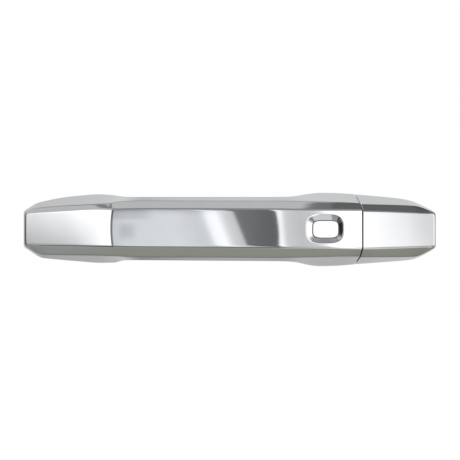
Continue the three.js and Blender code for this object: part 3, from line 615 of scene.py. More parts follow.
# Sections of a shell, from the seam to the far end: the cut of the corner, the rim's depth, then
# [x, z] of the face's edge, of the crease between bevel and flank, and of the rim, above and below.
GRIP_SECTIONS = [
    (0, 1.8, (76.2, 11.2), (74.9, 15.2), (72.3, 20.6),
     (76.2, -11.1), (74.9, -15.7), (72.3, -20.4)),
    (5, 1.8, (66, 11.2), (66, 15.7), (64, 21.2), (66, -10.8), (66, -15.6), (64, -21.2)),
    (2.5, 1.8, (54, 11.2), (54, 16.1), (52, 21.4), (54, -10.5), (54, -15.9), (52, -21.5)),
    (SMOOTH, 3.2, (47, 11.28), (47, 16.3), (46.5, 20.9), (47, -10.4), (47, -16.1), (46.5, -21)),
    (SMOOTH, 11, (42, 11.37), (42, 16.4), (41, 19.9), (42, -10.4), (42, -16.2), (41, -19.6)),
    (SMOOTH, 20.5, (36, 11.5), (36, 16.5), (36, 19.1), (36, -10.4), (36, -16.3), (36, -18.7)),
    (2.6, BACK, (30, 11.65), (30, 16.5), (30, 18.9), (30, -10.5), (30, -16.4), (30, -18.5)),
    (3, BACK, (-52, 11.9), (-52, 16.6), (-52, 18.9), (-52, -10.2), (-52, -16), (-52, -17.9)),
    (SMOOTH, 18.5, (-59, 11.8), (-59, 16.5), (-57.5, 18.9),
     (-59, -10.1), (-59, -15.9), (-57.5, -17.9)),
    (SMOOTH, 8, (-65, 11.6), (-65, 16.1), (-62, 19.1), (-65, -9.9), (-65, -15.6), (-62, -18)),
    (1.0, 2.4, (-68.5, 11.7), (-68.6, 15.4), (-66.6, 19.9),
     (-68.5, -9.8), (-68.6, -15.4), (-66.6, -19.4)),
    (4, 1.8, (-77, 12), (-78, 14.7), (-76.5, 20.7), (-77, -9.6), (-77, -15.1), (-76.5, -19.6)),
    (9, 1.8, (-98, 10.9), (-99, 13.7), (-97, 18.9), (-98, -9.3), (-98, -14.9), (-97, -17.9)),
    (2.6, 2.7, (-113, 10), (-114.5, 12.2), (-112, 15.6),
     (-111.5, -9.2), (-110.6, -14.6), (-110, -16.6)),
    (1.7, 3.8, (-118.4, 9.5), (-119.2, 10.1), (-119.9, 10.8),
     (-118.4, -8.9), (-119.2, -9.4), (-119.9, -10.2)),
]
CAP_SECTIONS = [
    (0, 1.8, (77.4, 10.5), (76, 14.6), (73.3, 20.4), (77.4, -11.2), (76, -16.1), (73.3, -20.3)),
    (6, 1.8, (90, 10.1), (90, 14.3), (88, 19.2), (90, -10.8), (90, -16.1), (88, -19.2)),
    (SMOOTH, 1.8, (104, 9.5), (104, 13.9), (102, 17.7), (104, -10.4), (104, -16), (102, -18.2)),
    (SMOOTH, 1.8, (112.5, 9.2), (110, 13.6), (109, 15.6),
     (111.5, -10.2), (109.6, -15.8), (108.8, -17.2)),
    (1.7, 1.8, (118.4, 9), (119.2, 9.5), (119.9, 9.9),
     (118.4, -9.9), (119.2, -10.4), (119.9, -10.9)),
]
STEP = 0.62  # between sections along a shell
TURN = 8  # steps in a rounding along the loop
END_STEPS = 26  # steps across a shell's far end
LAND = 1.3  # of the face that a shell's profile takes in beside the edge
PROFILE_TURN = 5  # steps in a rounding of the profile
# Cuts at the profile's corners and steps between them, outside and inside.
OUTSIDE_CUTS, OUTSIDE_RUNS = (0, 1.15, 0.9, 0.35, 0), (1, 3, 7, 1)
INSIDE_CUTS, INSIDE_RUNS = (0, 0.3, 0.6, 0.5, 0), (1, 7, 3, 1)
LIP = 0.3  # radius of the lip at the seam
BLOCK_X = (42.9, 67.4)  # ends of the block of the grip's face that the recess takes


def section_loops(sections, rearward):
    """Edge, crease and rim of a shell all the way round, from the seam to the seam, with the rim's
    depth as its third value; and where the far end starts and stops among the points."""
    tops = [(s[0], s[2], s[3], (*s[4], s[1])) for s in sections]
    lows = [(s[0], s[5], s[6], (*s[7], s[1])) for s in sections]
    there, back = (lows, tops) if rearward else (tops, lows)
    loop = there + back[::-1]
    cuts = [s[0] for s in loop]
    edge = np.array([s[1] for s in loop], float)
    length = np.linalg.norm(np.diff(edge, axis=0), axis=1)
    runs = np.maximum(2, np.round(length / STEP)).astype(int)
    middle = len(sections) - 1
    runs[middle] = END_STEPS
    edge, crease, rim = (rounded_path([s[k] for s in loop], cuts, runs, TURN) for k in (1, 2, 3))
    first = (len(edge) - END_STEPS) // 2 - TURN // 2
    return edge, crease, rim, first, len(edge) - 1 - first


def inward(loop):
    """Unit normals of a flat loop that runs anticlockwise, pointing into it."""
    along = np.gradient(loop, axis=0)
    along = along / np.linalg.norm(along, axis=1, keepdims=True)
    return np.stack([-along[:, 1], along[:, 0]], 1)


def shell_profiles(edge, crease, rim):
    """The shell's skin outside and inside, from the face to the middle of the rim, for each place
    round the loop. The bevel falls at 45 degrees from the face's edge to the crease, and the flank
    runs straight from there to the rim."""
    width = np.linalg.norm(edge - crease, axis=1)
    depth = face_depth(edge[:, 0], edge[:, 1])
    bevel = depth - width
    inner_rim = np.column_stack([rim[:, :2] + inward(rim[:, :2]) * WALL, rim[:, 2]])
    middle = (on_depth(rim[:, :2], rim[:, 2]) + on_depth(inner_rim[:, :2], rim[:, 2])) / 2
    start = on_face(edge + inward(edge) * np.minimum(LAND, width)[:, None])
    corners = [
        start,
        on_depth(edge, depth),
        on_depth(crease, bevel),
        on_depth(rim[:, :2], rim[:, 2]),
        middle,
    ]
    outside = rounded_path(corners, OUTSIDE_CUTS, OUTSIDE_RUNS, PROFILE_TURN)
    share = np.minimum(1, width / (1.5 * WALL))
    inside_edge = edge + inward(edge) * (WALL * lerp(1, 0.41, share))[:, None]
    inside_crease = crease + inward(crease) * 0.95 * WALL
    deep = np.minimum(bevel - WALL * lerp(1.3, 0.46, share), depth - WALL - 0.2)
    corners = [
        middle,
        on_depth(inner_rim[:, :2], rim[:, 2]),
        on_depth(inside_crease, np.maximum(deep, rim[:, 2] + 0.4)),
        on_face(inside_edge, WALL),
        on_face(inside_edge + inward(edge) * 1.0, WALL),
    ]
    inside = rounded_path(corners, INSIDE_CUTS, INSIDE_RUNS, PROFILE_TURN)
    return outside, inside


def face_grid(loop, first, last, below=0.0):
    """The face inside a closed row of points: a patch between its four sides, laid on the face."""
    flat = loop[:, [0, 2]]
    there, end, back = flat[: first + 1], flat[first : last + 1], flat[last:][::-1]
    seam = lerp(there[0], back[0], np.linspace(0, 1, len(end))[:, None])
    return on_face(coons(there, back, seam, end), below)


def ring_of(grid, rows, columns):
    """The border of a block of a grid, once round."""
    (a, b), (c, d) = rows, columns
    sides = [grid[a:b, c], grid[b, c:d], grid[b:a:-1, d], grid[a, d:c:-1]]
    return np.concatenate(sides)


def shell(sections, rearward, block_x=None):
    """A chrome shell, open at its back: its face and lining, the profiles carried round both, and
    a lip at the seam. block_x are the ends of the block of its face that is left out for the
    button's recess. Returns it, the block's outer and inner borders, and the lining's border."""
    edge, crease, rim, first, last = section_loops(sections, rearward)
    outside, inside = shell_profiles(edge, crease, rim)
    face = face_grid(outside[0], first, last)
    lining = face_grid(inside[-1], first, last, WALL)
    hole, rings = None, None
    if block_x:
        middle = face.shape[1] // 2
        along = np.abs(face[:, middle, 0][:, None] - np.array(block_x)).argmin(0)
        rows, columns = sorted(along), (1, face.shape[1] - 2)
        hole = (*rows, *columns)
        rings = ring_of(face, rows, columns), ring_of(lining, rows, columns)
    made = Piece()
    made.grid(face, hole=hole).grid(lining, hole=hole)
    made.grid(outside).grid(inside)
    chain = lambda profile, grid: np.concatenate([profile[::-1, 0], grid[0], profile[:, -1]])
    outer, inner = chain(outside, face), chain(inside[::-1], lining)
    towards = inner - outer
    reach = np.linalg.norm(towards, axis=1, keepdims=True)
    towards = towards / np.maximum(reach, 1e-6)
    radius, direction = np.minimum(LIP, reach / 3), np.array([-1.0 if rearward else 1.0, 0, 0])
    turn = np.radians(np.linspace(0, 90, 6))[:, None, None]
    lip = outer + direction * radius * np.sin(turn) + towards * radius * (1 - np.cos(turn))
    made.grid(np.concatenate([lip, (inner + direction * radius)[None], inner[None]]))
    return made, rings, inner


def recess(made, rings):
    """The button's recess: from the hole in the face over a soft edge, down a bevel to the window,
    through it, and back under the collar to the hole in the lining."""
    outer, inner = rings
    low, high = outer[:, [0, 2]].min(0), outer[:, [0, 2]].max(0)
    centre, half = (low + high) / 2, (high - low) / 2
    angle = np.arctan2((outer[:, 2] - centre[1]) / half[1], (outer[:, 0] - centre[0]) / half[0])
    mouth_at, window_at = np.array([MOUTH_X, MOUTH_Z]), np.array([BUTTON_X, BUTTON_Z])
    contour = lambda at, a, b, power: at + superellipse(angle, (a, b), power)
    window = contour(window_at, *BUTTON_HALF, BUTTON_POWER)
    collar = contour(window_at, *COLLAR)
    corners = [
        outer,
        on_face(contour(mouth_at, *BRIM)),
        on_face(contour(mouth_at, *MOUTH)),
        on_face(window, BUTTON_SINK),
        on_depth(window, COLLAR_DEPTH),
        on_depth(collar, COLLAR_DEPTH),
        on_face(collar, WALL),
        inner,
    ]
    cuts, runs = (0, 0, 0.5, 0.25, 0.2, 0.2, 0.2, 0), (3, 1, 8, 4, 2, 3, 3)
    made.grid(rounded_path(corners, cuts, runs, 6), close_columns=True)


def bulkhead(chain, direction, name, body):
    """The wall that closes a shell at the seam: straight lines between the upper and lower half of
    the shell's lining, given a thickness along x. direction is the way from the seam."""
    offset, thick, steps, clear = 0.5, 1.4, 12, 0.004
    half = len(chain) // 2
    upper, lower = chain[:half], chain[::-1][:half]
    inset = lambda t: lerp(upper, lower, t) + np.array([direction * offset, 0, 0])
    sheet = np.stack([inset(t) for t in np.linspace(clear, 1 - clear, steps)], 1)
    back = sheet + np.array([direction * thick, 0, 0])
    made = Piece().grid(sheet).grid(back)
    for side in (np.s_[0, :], np.s_[-1, :], np.s_[:, 0], np.s_[:, -1]):
        made.grid(np.stack([sheet[side], back[side]]))
    return made.make(name, body, "black_plastic", FINISHES["black_plastic"], sharp=30)


def grip_shell():
    """The grip's chrome with the button's recess, and the wall behind its seam."""
    made, rings, chain = shell(GRIP_SECTIONS, False, BLOCK_X)
    recess(made, rings)
    made.make("grip_chrome", "grip", "chrome_plate", FINISHES["chrome_plate"], "grip_shell")
    bulkhead(chain, -1, "grip_seam_wall", "grip")


def end_cap():
    """The end cap's chrome and the wall behind its seam."""
    made, _, chain = shell(CAP_SECTIONS, True)
    made.make("cap_chrome", "chassis", "chrome_plate", FINISHES["chrome_plate"], "end_cap")
    bulkhead(chain, 1, "cap_seam_wall", "chassis")


def button():
    """The button's cap: rings of a rounded rectangle carried along its profile, from the middle of
    the slanted top over a soft edge, down the sides and round the flange."""
    angle = np.linspace(0, 2 * np.pi, 96, endpoint=False)
    at, half = np.array([BUTTON_X, BUTTON_Z]), np.array(BUTTON_HALF) - BUTTON_GAP
    ring = lambda share, grow=0.0: at + share * superellipse(angle, half + grow, BUTTON_POWER)
    level = face_depth(*at) - BUTTON_SINK
    top = lambda flat: on_depth(flat, level - BUTTON_TILT * (flat[:, 0] - BUTTON_X))
    corners = [
        top(ring(0.0)),
        top(ring(0.5)),
        top(ring(1.0)),
        on_depth(ring(1.0), FLANGE_DEPTH),
        on_depth(ring(1.0, FLANGE_WIDTH), FLANGE_DEPTH),
        on_depth(ring(1.0, FLANGE_WIDTH), FLANGE_BACK),
        on_depth(ring(0.0), FLANGE_BACK),
    ]
    cuts, runs = (0, 2, 0.35, 0.15, 0.2, 0.2, 0), (6, 8, 4, 2, 3, 4)
    made = Piece().grid(rounded_path(corners, cuts, runs, 6), close_columns=True)
    made.make("button_chrome", "button", "chrome_plate", FINISHES["chrome_plate"], "button_cap")


# ---------------------------------------------------------------- turned parts and springs


TURNED_CUT = 0.15  # of the corners of a turned part, or less where its runs are short
THREAD_STEPS = 8  # along one pitch


def turned(axis, at, corners, around=48, lobes=(), ring=False, thread=None):
    """A lathe: corners of [radius, height] are rounded and carried round an axis through at.
    lobes gives a corner's radius six waves of that share, for a drive's socket. ring closes the
    profile on itself. thread is (from, to, pitch, depth): between these heights a triangular
    groove winds round the radius."""
    waves = np.zeros(len(corners))
    for index, share in dict(lobes).items():
        waves[index] = share
    path = np.column_stack([np.array(corners, float), waves])
    if ring:
        path = np.concatenate([path, path[:1]])
    length = np.abs(np.diff(path[:, 1]))
    runs = np.ones(len(path) - 1, int)
    if thread:
        steps = np.ceil(length / thread[2] * THREAD_STEPS)
        runs = np.where(length > thread[2], steps, 1).astype(int)
    shortest = np.linalg.norm(np.diff(path[:, :2], axis=0), axis=1).min()
    path = rounded_path(path, [min(TURNED_CUT, 0.4 * shortest)] * len(path), runs, 3)
    if ring:
        path = path[:-1]
    angle = np.linspace(0, 2 * np.pi, around, endpoint=False)[None, :]
    radius, height, wave = (path[:, k, None] for k in range(3))
    radius = radius * (1 + wave * np.cos(6 * angle))
    if thread:
        first, last, pitch, depth = thread
        ramp = np.clip(np.minimum(height - first, last - height) / pitch, 0, 1)
        phase = (height / pitch - angle / (2 * np.pi)) % 1
        radius = radius - ramp * depth * np.abs(2 * phase - 1)
    height = height + 0 * angle
    u, v = radius * np.cos(angle), radius * np.sin(angle)
    order = {"x": (height, u, v), "y": (u, height, v), "z": (u, v, height)}[axis]
    points = np.stack(order, -1) + np.array(at, float)
    return Piece().grid(points, close_columns=True, close_rows=ring)


def place_turned(node, *shape, **how):
    """Makes a turned part in the place of a CAD node."""
    slot = SLOT_OF[node]
    made = turned(*shape, **how)
    return made.make(node + "_fine", BODY_OF[node], slot, FINISHES[slot], node, sharp=40)


def pan_screw(node, at, shaft, head, length, height, socket):
    """A screw for plastic with a wide pan head and a six-lobed socket, whose head faces +y. shaft,
    head and socket are radii; length is the shaft's and height the head's."""
    corners = [
        (0, -length), (0.25 * shaft, -length), (shaft, -length + 1.4 * shaft), (shaft, 0),
        (head, 0), (head, 0.5 * height), (0.74 * head, height), (socket, height),
        (0.92 * socket, 0.4 * height), (0, 0.36 * height),
    ]
    groove = (-length + 0.6, -0.5, 1.1, 0.4)
    place_turned(node, "y", at, corners, lobes={7: 0.12, 8: 0.12}, thread=groove, around=60)


def screws():
    """Three screws of the grip, the end cap's own, the lock screw and two door screws."""
    for node, x, seat, into in (
        ("grip_screw_front", -92, 11.3, 18.2),
        ("grip_screw_middle", -38, 25.5, 31.2),
        ("grip_screw_rear", 33, 25.5, 33.2),
    ):
        sizes = {"shaft": 1.5, "head": 3.1, "length": into - seat, "height": 1.6, "socket": 1.35}
        pan_screw(node, (x, -seat + 0.3, 0), **sizes)
    sizes = {"shaft": 1.5, "head": 3.4, "length": 8.5, "height": 1.8, "socket": 1.5}
    pan_screw("cap_screw", (93, -13.4, 0), **sizes)
    lock = [
        (0, 101), (1.2, 101), (2.6, 102.6), (2.6, 115.3), (4.5, 115.3), (4.5, 117.3), (4.1, 118),
        (2.15, 118), (2.05, 116.2), (0, 116),
    ]
    fine = {"lobes": {7: 0.07, 8: 0.07}, "thread": (101.6, 115, 1, 0.5), "around": 72}
    place_turned("lock_screw", "x", (0, 20, 0), lock, **fine)
    door = [
        (0, -1.4), (1.9, -1.5), (2.0, -3.2), (3.3, -3.2), (3.9, -2.6), (3.9, -0.9), (4.6, -0.9),
        (4.6, 0), (2.4, 0), (2.4, 11), (1.5, 12.4), (0, 12.4),
    ]
    fine = {"lobes": {1: 0.09, 2: 0.09}, "thread": (2.4, 12, 1, 0.45), "around": 72}
    for node, x in (("door_screw_front", -84), ("door_screw_rear", 111.5)):
        place_turned(node, "y", (x, -0.3, 0), door, **fine)


# The grip's pivot, the lever's hub, and the lever's angle at rest.
PIVOT, HUB, REST = (-109, 9, 0), (27, 26, 0), 20.9


def pins():
    """The two hinge pins, their bushes, and the other round parts of the gear."""
    pin = [(0, -12.3), (1.9, -12.3), (2.5, -11.7), (2.5, 12.3), (1.9, 12.9), (0, 12.9)]
    place_turned("pivot_pin", "z", PIVOT, pin, around=40)
    bush = [(2.65, 1.4), (3.45, 1.4), (3.45, 6.95), (5, 6.95), (5, 8.05), (2.65, 8.05)]
    place_turned("pivot_bush_upper", "z", PIVOT, bush, ring=True)
    turned_over = [(radius, -height) for radius, height in bush]
    place_turned("pivot_bush_lower", "z", PIVOT, turned_over, ring=True)
    pin = [
        (0, -18), (2, -18), (2.5, -17.5), (2.5, 16.8), (4.2, 16.8), (4.2, 17.8), (3.3, 18.4),
        (0, 18.4),
    ]
    place_turned("lever_pin", "z", HUB, pin, around=40)
    bush = [(2.6, -8.8), (3.9, -8.8), (3.9, 9.8), (2.6, 9.8)]
    place_turned("lever_bush", "z", HUB, bush, ring=True)
    buffer = [(0, -12.5), (3.4, -12.5)]
    for low in np.arange(-12.1, 1.5, 2.3):
        buffer += [(3.7, low), (3.7, low + 1.4), (3.35, low + 1.7), (3.35, low + 2.0)]
    buffer += [(3.7, 2.5), (3.1, 3.3), (0, 3.3)]
    place_turned("lever_bumper", "z", (46, 41.6, 0), buffer)
    sleeve = [
        (2.2, -2.6), (3.4, -2.6), (4.0, -1.9), (4.0, -0.5), (3.5, -0.1), (3.5, 1.9), (4.1, 2.2),
        (4.1, 3.2), (3.7, 3.6), (4.1, 4.0), (4.1, 5.0), (3.7, 5.4), (4.1, 5.8), (4.1, 7.6),
        (3.1, 9.6), (2.2, 9.6),
    ]
    place_turned("wire_grommet", "y", (-94.5, 0, 0), sleeve, ring=True)
    low, high = node_box("counterweight_rivet")
    middle = (low + high) / 2
    rivet = [
        (0, low[2]), (2, low[2]), (2, high[2] - 1.3), (3.4, high[2] - 1.3), (3.2, high[2] - 0.5),
        (1.6, high[2]), (0, high[2]),
    ]
    place_turned("counterweight_rivet", "z", (middle[0], middle[1], 0), rivet, around=36)


def tube(path, radius, around=12):
    """A wire: a circle carried along a path, square to it, with its ends closed."""
    tangent = np.gradient(path, axis=0)
    tangent = tangent / np.linalg.norm(tangent, axis=1, keepdims=True)
    side = np.cross(tangent, [0, 0, 1.0])
    side = side / np.linalg.norm(side, axis=1, keepdims=True)
    up = np.cross(side, tangent)
    angle = np.linspace(0, 2 * np.pi, around, endpoint=False)[None, :, None]
    around_path = side[:, None] * np.cos(angle) + up[:, None] * np.sin(angle)
    body = path[:, None] + radius * around_path
    ends = [np.repeat(path[k][None, None], around, 1) for k in (0, -1)]
    return Piece().grid(np.concatenate([ends[0], body, ends[1]]), close_columns=True)


def return_spring():
    """A torsion spring round the lever's hub: a fixed leg, a helix of a little over three turns,
    and a leg that leans on the lever. It bends between chassis and lever as its turns wind up."""
    radius, wire, top, low = 7.7, 0.78, 10.9, 4.9
    fixed_end, leg = 17.6, 15.5
    sweep = math.radians(3 * 360 + 180 - (REST + 90))
    share = np.linspace(0, 1, 260)
    angle = math.pi - sweep * share
    turn = np.stack([radius * np.cos(angle), radius * np.sin(angle), lerp(top, low, share)], 1)
    coil = turn + np.array([HUB[0], HUB[1], 0])
    start = np.array([HUB[0] - radius, fixed_end, top])
    lean = math.radians(REST)
    end = coil[-1] + leg * np.array([math.cos(lean), math.sin(lean), 0])
    first = lerp(start, coil[0], np.linspace(0, 1, 12)[:-1, None])
    last = lerp(coil[-1], end, np.linspace(0, 1, 16)[1:, None])
    made = tube(np.concatenate([first, coil, last]), wire)
    slot = SLOT_OF["return_spring"]
    spring = made.make("return_spring_fine", None, slot, FINISHES[slot], "return_spring")
    across = lambda z: tuple(MM * np.array([HUB[0], HUB[1], z]))
    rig.blend(spring, "chassis", "lever", across(top), across(low))


def antenna_coil():
    """Enamelled wire wound side by side along x over the flat core: a rounded rectangle carried
    along x, which shrinks between two turns, and closed on itself through a smaller one inside."""
    low, high = node_box("antenna_coil")
    pitch, steps, groove, wall, inner_height = 0.75, 8, 0.16, 0.62, 2.6
    turns = int((high[0] - low[0]) / pitch)
    x = np.linspace(low[0], high[0], turns * steps + 1)
    swell = -groove * np.abs(np.cos(np.pi * (x - low[0]) / (high[0] - low[0]) * turns))
    angle = np.linspace(0, 2 * np.pi, 48, endpoint=False)
    middle, half = (low + high)[1:] / 2, (high - low)[1:] / 2
    ring = lambda at, grow: np.insert(middle + superellipse(angle, half + grow, 6), 0, at, 1)
    outer = np.stack([ring(at, grow) for at, grow in zip(x, swell)])
    inner = np.stack([ring(at, -wall) for at in (x[-1], x[0])])
    inner[..., 2] = middle[1] + (inner[..., 2] - middle[1]) * (inner_height / (half[1] - wall))
    made = Piece().grid(np.concatenate([outer, inner]), close_rows=True, close_columns=True)
    slot = SLOT_OF["antenna_coil"]
    made.make("antenna_coil_fine", "grip", slot, FINISHES[slot], "antenna_coil", sharp=60)


def button_boot():
    """A rubber bellows between button and switch: a rounded rectangle carried along y, drawn in
    by two waves of a cosine, outside and inside. Its folds flatten as the button is pressed."""
    folds, fold_depth, thick, travel = 2, 0.45, 0.9, 1.2
    low, high = node_box("button_boot")
    middle, half = (low + high) / 2, (high - low) / 2
    angle = np.linspace(0, 2 * np.pi, 72, endpoint=False)
    share = np.linspace(0, 1, 33)
    y = lerp(high[1], low[1], share)
    drawn_in = fold_depth * (np.cos(folds * 2 * np.pi * share) - 1)
    flat = lambda grow: middle[[0, 2]] + superellipse(angle, half[[0, 2]] + grow, 4.5)
    outer = [np.insert(flat(grow), 1, at, 1) for at, grow in zip(y, drawn_in)]
    inner = [np.insert(flat(grow - thick), 1, at, 1) for at, grow in zip(y, drawn_in)]
    made = Piece().grid(np.stack(outer + inner[::-1]), close_rows=True, close_columns=True)
    boot = made.make("button_boot_fine", "grip", "rubber", FINISHES["rubber"], "button_boot")
    anchor = tuple(MM * np.array([middle[0], high[1], middle[2]]))
    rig.squash(boot, "button_press", (0, 1, 0), anchor, keep=1 - travel / (2 * half[1]))


# ---------------------------------------------------------------- carried over from the frame


EDGE_WIDTH, EDGE_STEPS, EDGE_ANGLE = 0.3, 2, 32
FLAT_ANGLE = 0.6  # faces that meet at less, in degrees, are one face


def softened(node):
    """A copy of a CAD node with its sharp edges rounded: its flat faces are joined up, and a narrow
    bevel runs along every edge."""
    mesh = frame["nodes"][node].data.copy()
    work = bmesh.new()
    work.from_mesh(mesh)
    bmesh.ops.remove_doubles(work, verts=work.verts, dist=MERGE)
    flat = math.radians(FLAT_ANGLE)
    bmesh.ops.dissolve_limit(work, angle_limit=flat, verts=work.verts, edges=work.edges)
    work.to_mesh(mesh)
    work.free()
    slot = SLOT_OF[node]
    piece = settle(node + "_fine", mesh, BODY_OF[node], slot, FINISHES[slot], node, EDGE_ANGLE)
    bevel = piece.modifiers.new("edges", "BEVEL")
    bevel.width, bevel.segments = EDGE_WIDTH * MM, EDGE_STEPS
    bevel.limit_method, bevel.angle_limit = "ANGLE", math.radians(EDGE_ANGLE)
    bevel.use_clamp_overlap, bevel.harden_normals = True, False


def carried_over():
    """Softened copies of all CAD nodes that no finer piece replaces."""
    replaced = {node for piece in SCENE.objects for node in piece.get("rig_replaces", ())}
    for node in frame["nodes"]:
        if node not in replaced:
            softened(node)


# ---------------------------------------------------------------- light, floor and camera


WHITE = (1, 1, 1, 1)
MATT_LIGHT, SEEN_LIGHT = 1.1, 1.0  # what lights the matt finishes, and what the eye sees
RAMP_TOP = 1.8  # the brightest a ramp can be
LEFT_LEAN, RIGHT_LEAN = 0.22, 0.053  # how far the borders ahead lean with height
# Brightness straight ahead by x, from the mirror of the handle's front end to that of its rear end:
# the dim end of the facet, its bright lower part, the black flag at the crease, the panel left of
# the camera, the panel's bright rim on both sides of the camera, and the bright panel at the rear.
AHEAD = [
    (-1, 0.02), (-0.93, 0.04), (-0.89, 0.4), (-0.765, 0.75), (-0.715, 1.0), (-0.66, 1.25),
    (-0.605, 1.75), (-0.575, 1.75), (-0.55, 0.3), (-0.385, 0.3), (-0.36, 0.95), (-0.32, 1.1),
    (-0.2, 1.15), (-0.145, 1.03), (-0.12, 1.03), (-0.101, 1.6), (-0.078, 1.65), (-0.058, 1.1),
    (-0.03, 0.9), (0.06, 1.6), (0.089, 1.6), (0.0955, 1.0), (0.14, 0.86), (0.172, 0.94),
    (0.19, 1.15), (0.21, 1.75), (0.545, 1.75), (0.585, 1.43), (0.607, 1.12), (0.75, 1.2),
    (0.84, 1.75),
]
# Brightness away from that by the angle round the x axis, as a share of half a turn: 0 is ahead,
# 0.5 above, -0.5 below, and 1 or -1 behind.
ROUND_ABOUT = [
    (-1, 0.75), (-0.83, 0.5), (-0.64, 0.27), (-0.5, 0.42), (-0.44, 0.43), (-0.42, 0.5),
    (-0.33, 0.42), (-0.29, 0.15), (-0.12, 0.12), (0.17, 0.38), (0.32, 0.4), (0.42, 0.38),
    (0.47, 0.76), (0.56, 0.75), (0.64, 0.45), (0.72, 0.68), (0.82, 0.78), (1, 0.75),
]


def ramp(graph, value, stops):
    """Brightness by a value from -1 to 1, from (value, brightness) stops."""
    places = [((at + 1) / 2, level / RAMP_TOP) for at, level in stops]
    return graph.node("ValToRGB", {"stops": places}, [(value + 1) / 2]) * RAMP_TOP


def ahead_level(graph, x, z):
    """Brightness straight ahead: the ramp AHEAD along x, with borders that lean with height, and a
    dark camera in front of it. Every patch is a product of bands over x and z, and a strength."""
    lean = LEFT_LEAN * x.band(-0.3, -0.15, -0.02, 0.02) + RIGHT_LEAN * x.smooth(0, 0.05)
    level = ramp(graph, x + z * lean, AHEAD)
    # The camera: a slanted left edge, a right edge that bulges in the middle, darker to the right.
    bulge = (z * z).maths("MINIMUM", 0.01) * 0.5
    camera = (x + z * 0.23).smooth(-0.0315, -0.0205)
    camera = camera * (x + z * RIGHT_LEAN + bulge).fall(0.0755, 0.0815)
    level = lerp(level, 0.25 - x * 0.9, camera)
    # The panels left of it dim towards their top in two steps; a soft cloud lies near the crease.
    shade = z.smooth(0.036, 0.05) * x.fall(-0.3, -0.24) * 0.19
    shade = shade + z.smooth(0.055, 0.1) * x.fall(-0.14, -0.06) * 0.26
    shade = shade * x.smooth(-0.6, -0.5)
    cloud = z.band(-0.066, -0.026, 0, 0.04) * x.band(-0.35, -0.33, -0.32, -0.29) * 0.2
    # What the facet mirrors grows brighter with height.
    rising = z * x.fall(-0.65, -0.59) * 2.2
    level = level * (1 - shade - cloud + rising)
    # The bright panel at the rear dims towards its foot in two steps.
    level = level * (1 - (-z).smooth(0.25, 0.42) * x.smooth(0.42, 0.55) * 0.55)
    return level * (1 - (-z).smooth(0.11, 0.2) * x.band(0.42, 0.5, 0.75, 0.85) * 0.3)


def round_level(graph, x, angle):
    """Brightness away from straight ahead: the ramp ROUND_ABOUT by the angle, with patches that are
    products of bands over the angle and over x, and a strength."""
    below = -angle
    level = ramp(graph, angle, ROUND_ABOUT)
    # Overhead, which the upper bevel mirrors: dimmer to the rear, and a flag near the crease.
    dimmer = x.smooth(0.094, 0.104) * 0.64 + x.smooth(0.1, 0.14) * 0.12
    dimmer = dimmer * angle.band(0.44, 0.47, 0.7, 0.78)
    flag = angle.band(0.4, 0.47, 0.6, 0.66) * x.band(-0.37, -0.33, -0.3, -0.25) * 0.55
    level = level * (1 - dimmer - flag)
    # The floor, which the lower bevel mirrors: lit at the rear, and along the facet's lower edge.
    level = level + below.band(0.28, 0.33, 0.43, 0.47) * x.smooth(0.04, 0.1) * 0.5
    lit = below.band(0.1, 0.16, 0.27, 0.33) * x.band(-0.84, -0.78, -0.5, -0.3)
    level = level + lit * (0.3 - x * 0.35)
    # The rounded corners of the front end see black: above and below where they are steepest, and
    # only low down where they are gentler. The crease sees a black flag low down.
    gentle = x.smooth(-0.92, -0.84)
    corner = lerp(below.smooth(0, 0.05), below.smooth(0.26, 0.32), gentle) * below.fall(0.4, 0.46)
    corner = corner + angle.band(0, 0.05, 0.3, 0.36) * (1 - gentle) * 0.8
    corner = corner * x.fall(-0.68, -0.6) * 0.9
    crease = below.band(0.24, 0.3, 0.4, 0.46) * x.band(-0.57, -0.53, -0.36, -0.28) * 0.85
    level = level * (1 - corner - crease)
    # The facet's upper bevel has a light edge on both sides.
    edges = angle.band(0.12, 0.2, 0.42, 0.47) * 0.35 + angle.band(0.56, 0.62, 0.68, 0.74) * 0.26
    level = level + edges * x.band(-0.8, -0.7, -0.42, -0.34)
    # Behind it is dimmer to both sides.
    return level * (1 - abs(angle).smooth(0.8, 0.9) * abs(x).smooth(0.15, 0.45) * 0.5)


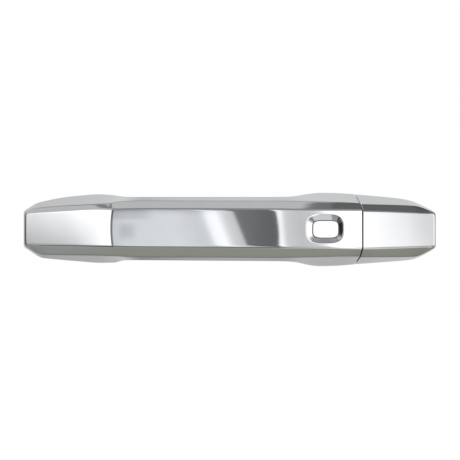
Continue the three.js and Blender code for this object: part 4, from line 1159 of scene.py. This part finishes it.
def sky():
    """What the chrome mirrors, as a function of the mirrored direction: along x straight ahead, and
    by the angle round the x axis elsewhere. Everything matt is lit evenly, and behind the object
    the eye sees plain white."""
    world = bpy.data.worlds.new("studio")
    SCENE.world = world
    world.use_nodes = True
    graph = Graph(world.node_tree)
    ray = graph.node("TexCoord", output="Generated")
    x = graph.node("SeparateXYZ", {}, [ray], "X")
    y, z = x.beside("Y"), x.beside("Z")
    angle = z.maths("ARCTAN2", -y) / math.pi
    # Straight ahead reaches further round the x axis below the rear half and at the rear end.
    reach = 1 + x.smooth(0.1, 0.17) * (-angle).smooth(0, 0.02) * 1.2 + x.smooth(0.45, 0.6) * 1.6
    front = (abs(angle) / reach).fall(0.11, 0.18)
    level = lerp(round_level(graph, x, angle), ahead_level(graph, x, z), front)
    # The floor is brighter below the facet and yellowish elsewhere; a panel is a little bluish.
    low = angle.band(-0.75, -0.6, -0.46, -0.4)
    at_facet = x.fall(-0.42, -0.3)
    warm = low * (1 - at_facet)
    cool = x.band(-0.5, -0.4, -0.12, -0.05) * front
    level = level * (1 + low * at_facet * 0.16)
    red = level * (1 - warm * 0.02 - cool * 0.032)
    green = level * (1 - cool * 0.01)
    blue = level * (1 - warm * 0.14 + cool * 0.01)
    tinted = graph.node("CombineColor", {}, [red, green, blue])
    eye = graph.node("LightPath", output="Is Camera Ray")
    matt = graph.node("Background", {}, {"Color": WHITE, "Strength": MATT_LIGHT})
    seen = graph.node("Background", {}, {"Color": WHITE, "Strength": SEEN_LIGHT})
    shiny = graph.node("Background", {}, {"Color": tinted, "Strength": 1.0})
    mixed = graph.node("MixShader", {}, [eye.beside("Is Glossy Ray"), matt, shiny])
    mixed = graph.node("MixShader", {}, [eye, mixed, seen])
    graph.node("OutputWorld", {}, {"Surface": mixed})


def lamp(name, place, size, power, colour):
    """A soft panel that points at the object and isn't mirrored in it."""
    light = bpy.data.lights.new(name, "AREA")
    light.size, light.energy, light.color = size, power, colour
    panel = bpy.data.objects.new(name, light)
    SCENE.collection.objects.link(panel)
    panel.location = place
    panel.rotation_euler = (-Vector(place)).to_track_quat("-Z", "Y").to_euler()
    panel.visible_glossy = False


def floor():
    """A plain pale floor well below the handle, which hangs as on a door."""
    half, below = 6.0, 0.115
    mesh = bpy.data.meshes.new("floor")
    signs = [(-1, -1), (1, -1), (1, 1), (-1, 1)]
    mesh.from_pydata([(a * half, b * half, -below) for a, b in signs], [], [(0, 1, 2, 3)])
    graph, place, end = finish("floor")
    cloud = noise(graph, place, 400.0)
    colour = between(graph, cloud, (0.93, 0.93, 0.93), (0.96, 0.96, 0.96))
    mesh.materials.append(end(colour, 0.9 + cloud * 0.05))
    plane = bpy.data.objects.new("floor", mesh)
    SCENE.collection.objects.link(plane)
    plane.visible_glossy = False
    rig.stage(plane)


def camera():
    """A long lens straight in front, at the handle's height."""
    lens, sensor, width = 600.0, 36.0, 0.26763
    data = bpy.data.cameras.new("camera")
    data.lens, data.sensor_width = lens, sensor
    data.clip_start, data.clip_end = 0.1, 60
    eye = bpy.data.objects.new("camera", data)
    eye.location = (0.00015, -width * lens / sensor, -0.00035)
    eye.rotation_euler = (math.pi / 2, 0, 0)
    SCENE.collection.objects.link(eye)
    SCENE.camera = eye


SCENE.view_settings.view_transform = "Standard"
camera()
sky()
floor()
lamp("key", (-0.5, -0.6, 0.9), 0.8, 9.0, (1, 0.98, 0.95))
lamp("fill", (0.7, 0.5, 0.5), 0.8, 6.0, (0.95, 0.97, 1))
grip_shell()
end_cap()
button()
screws()
pins()
return_spring()
antenna_coil()
button_boot()
carried_over()

low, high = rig.bounds()
sizes = {"cad": [list(c) for c in CAD_BOX], "visual": [list(low), list(high)]}
with open("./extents.json", "w") as out:
    json.dump(sizes, out, indent=1)
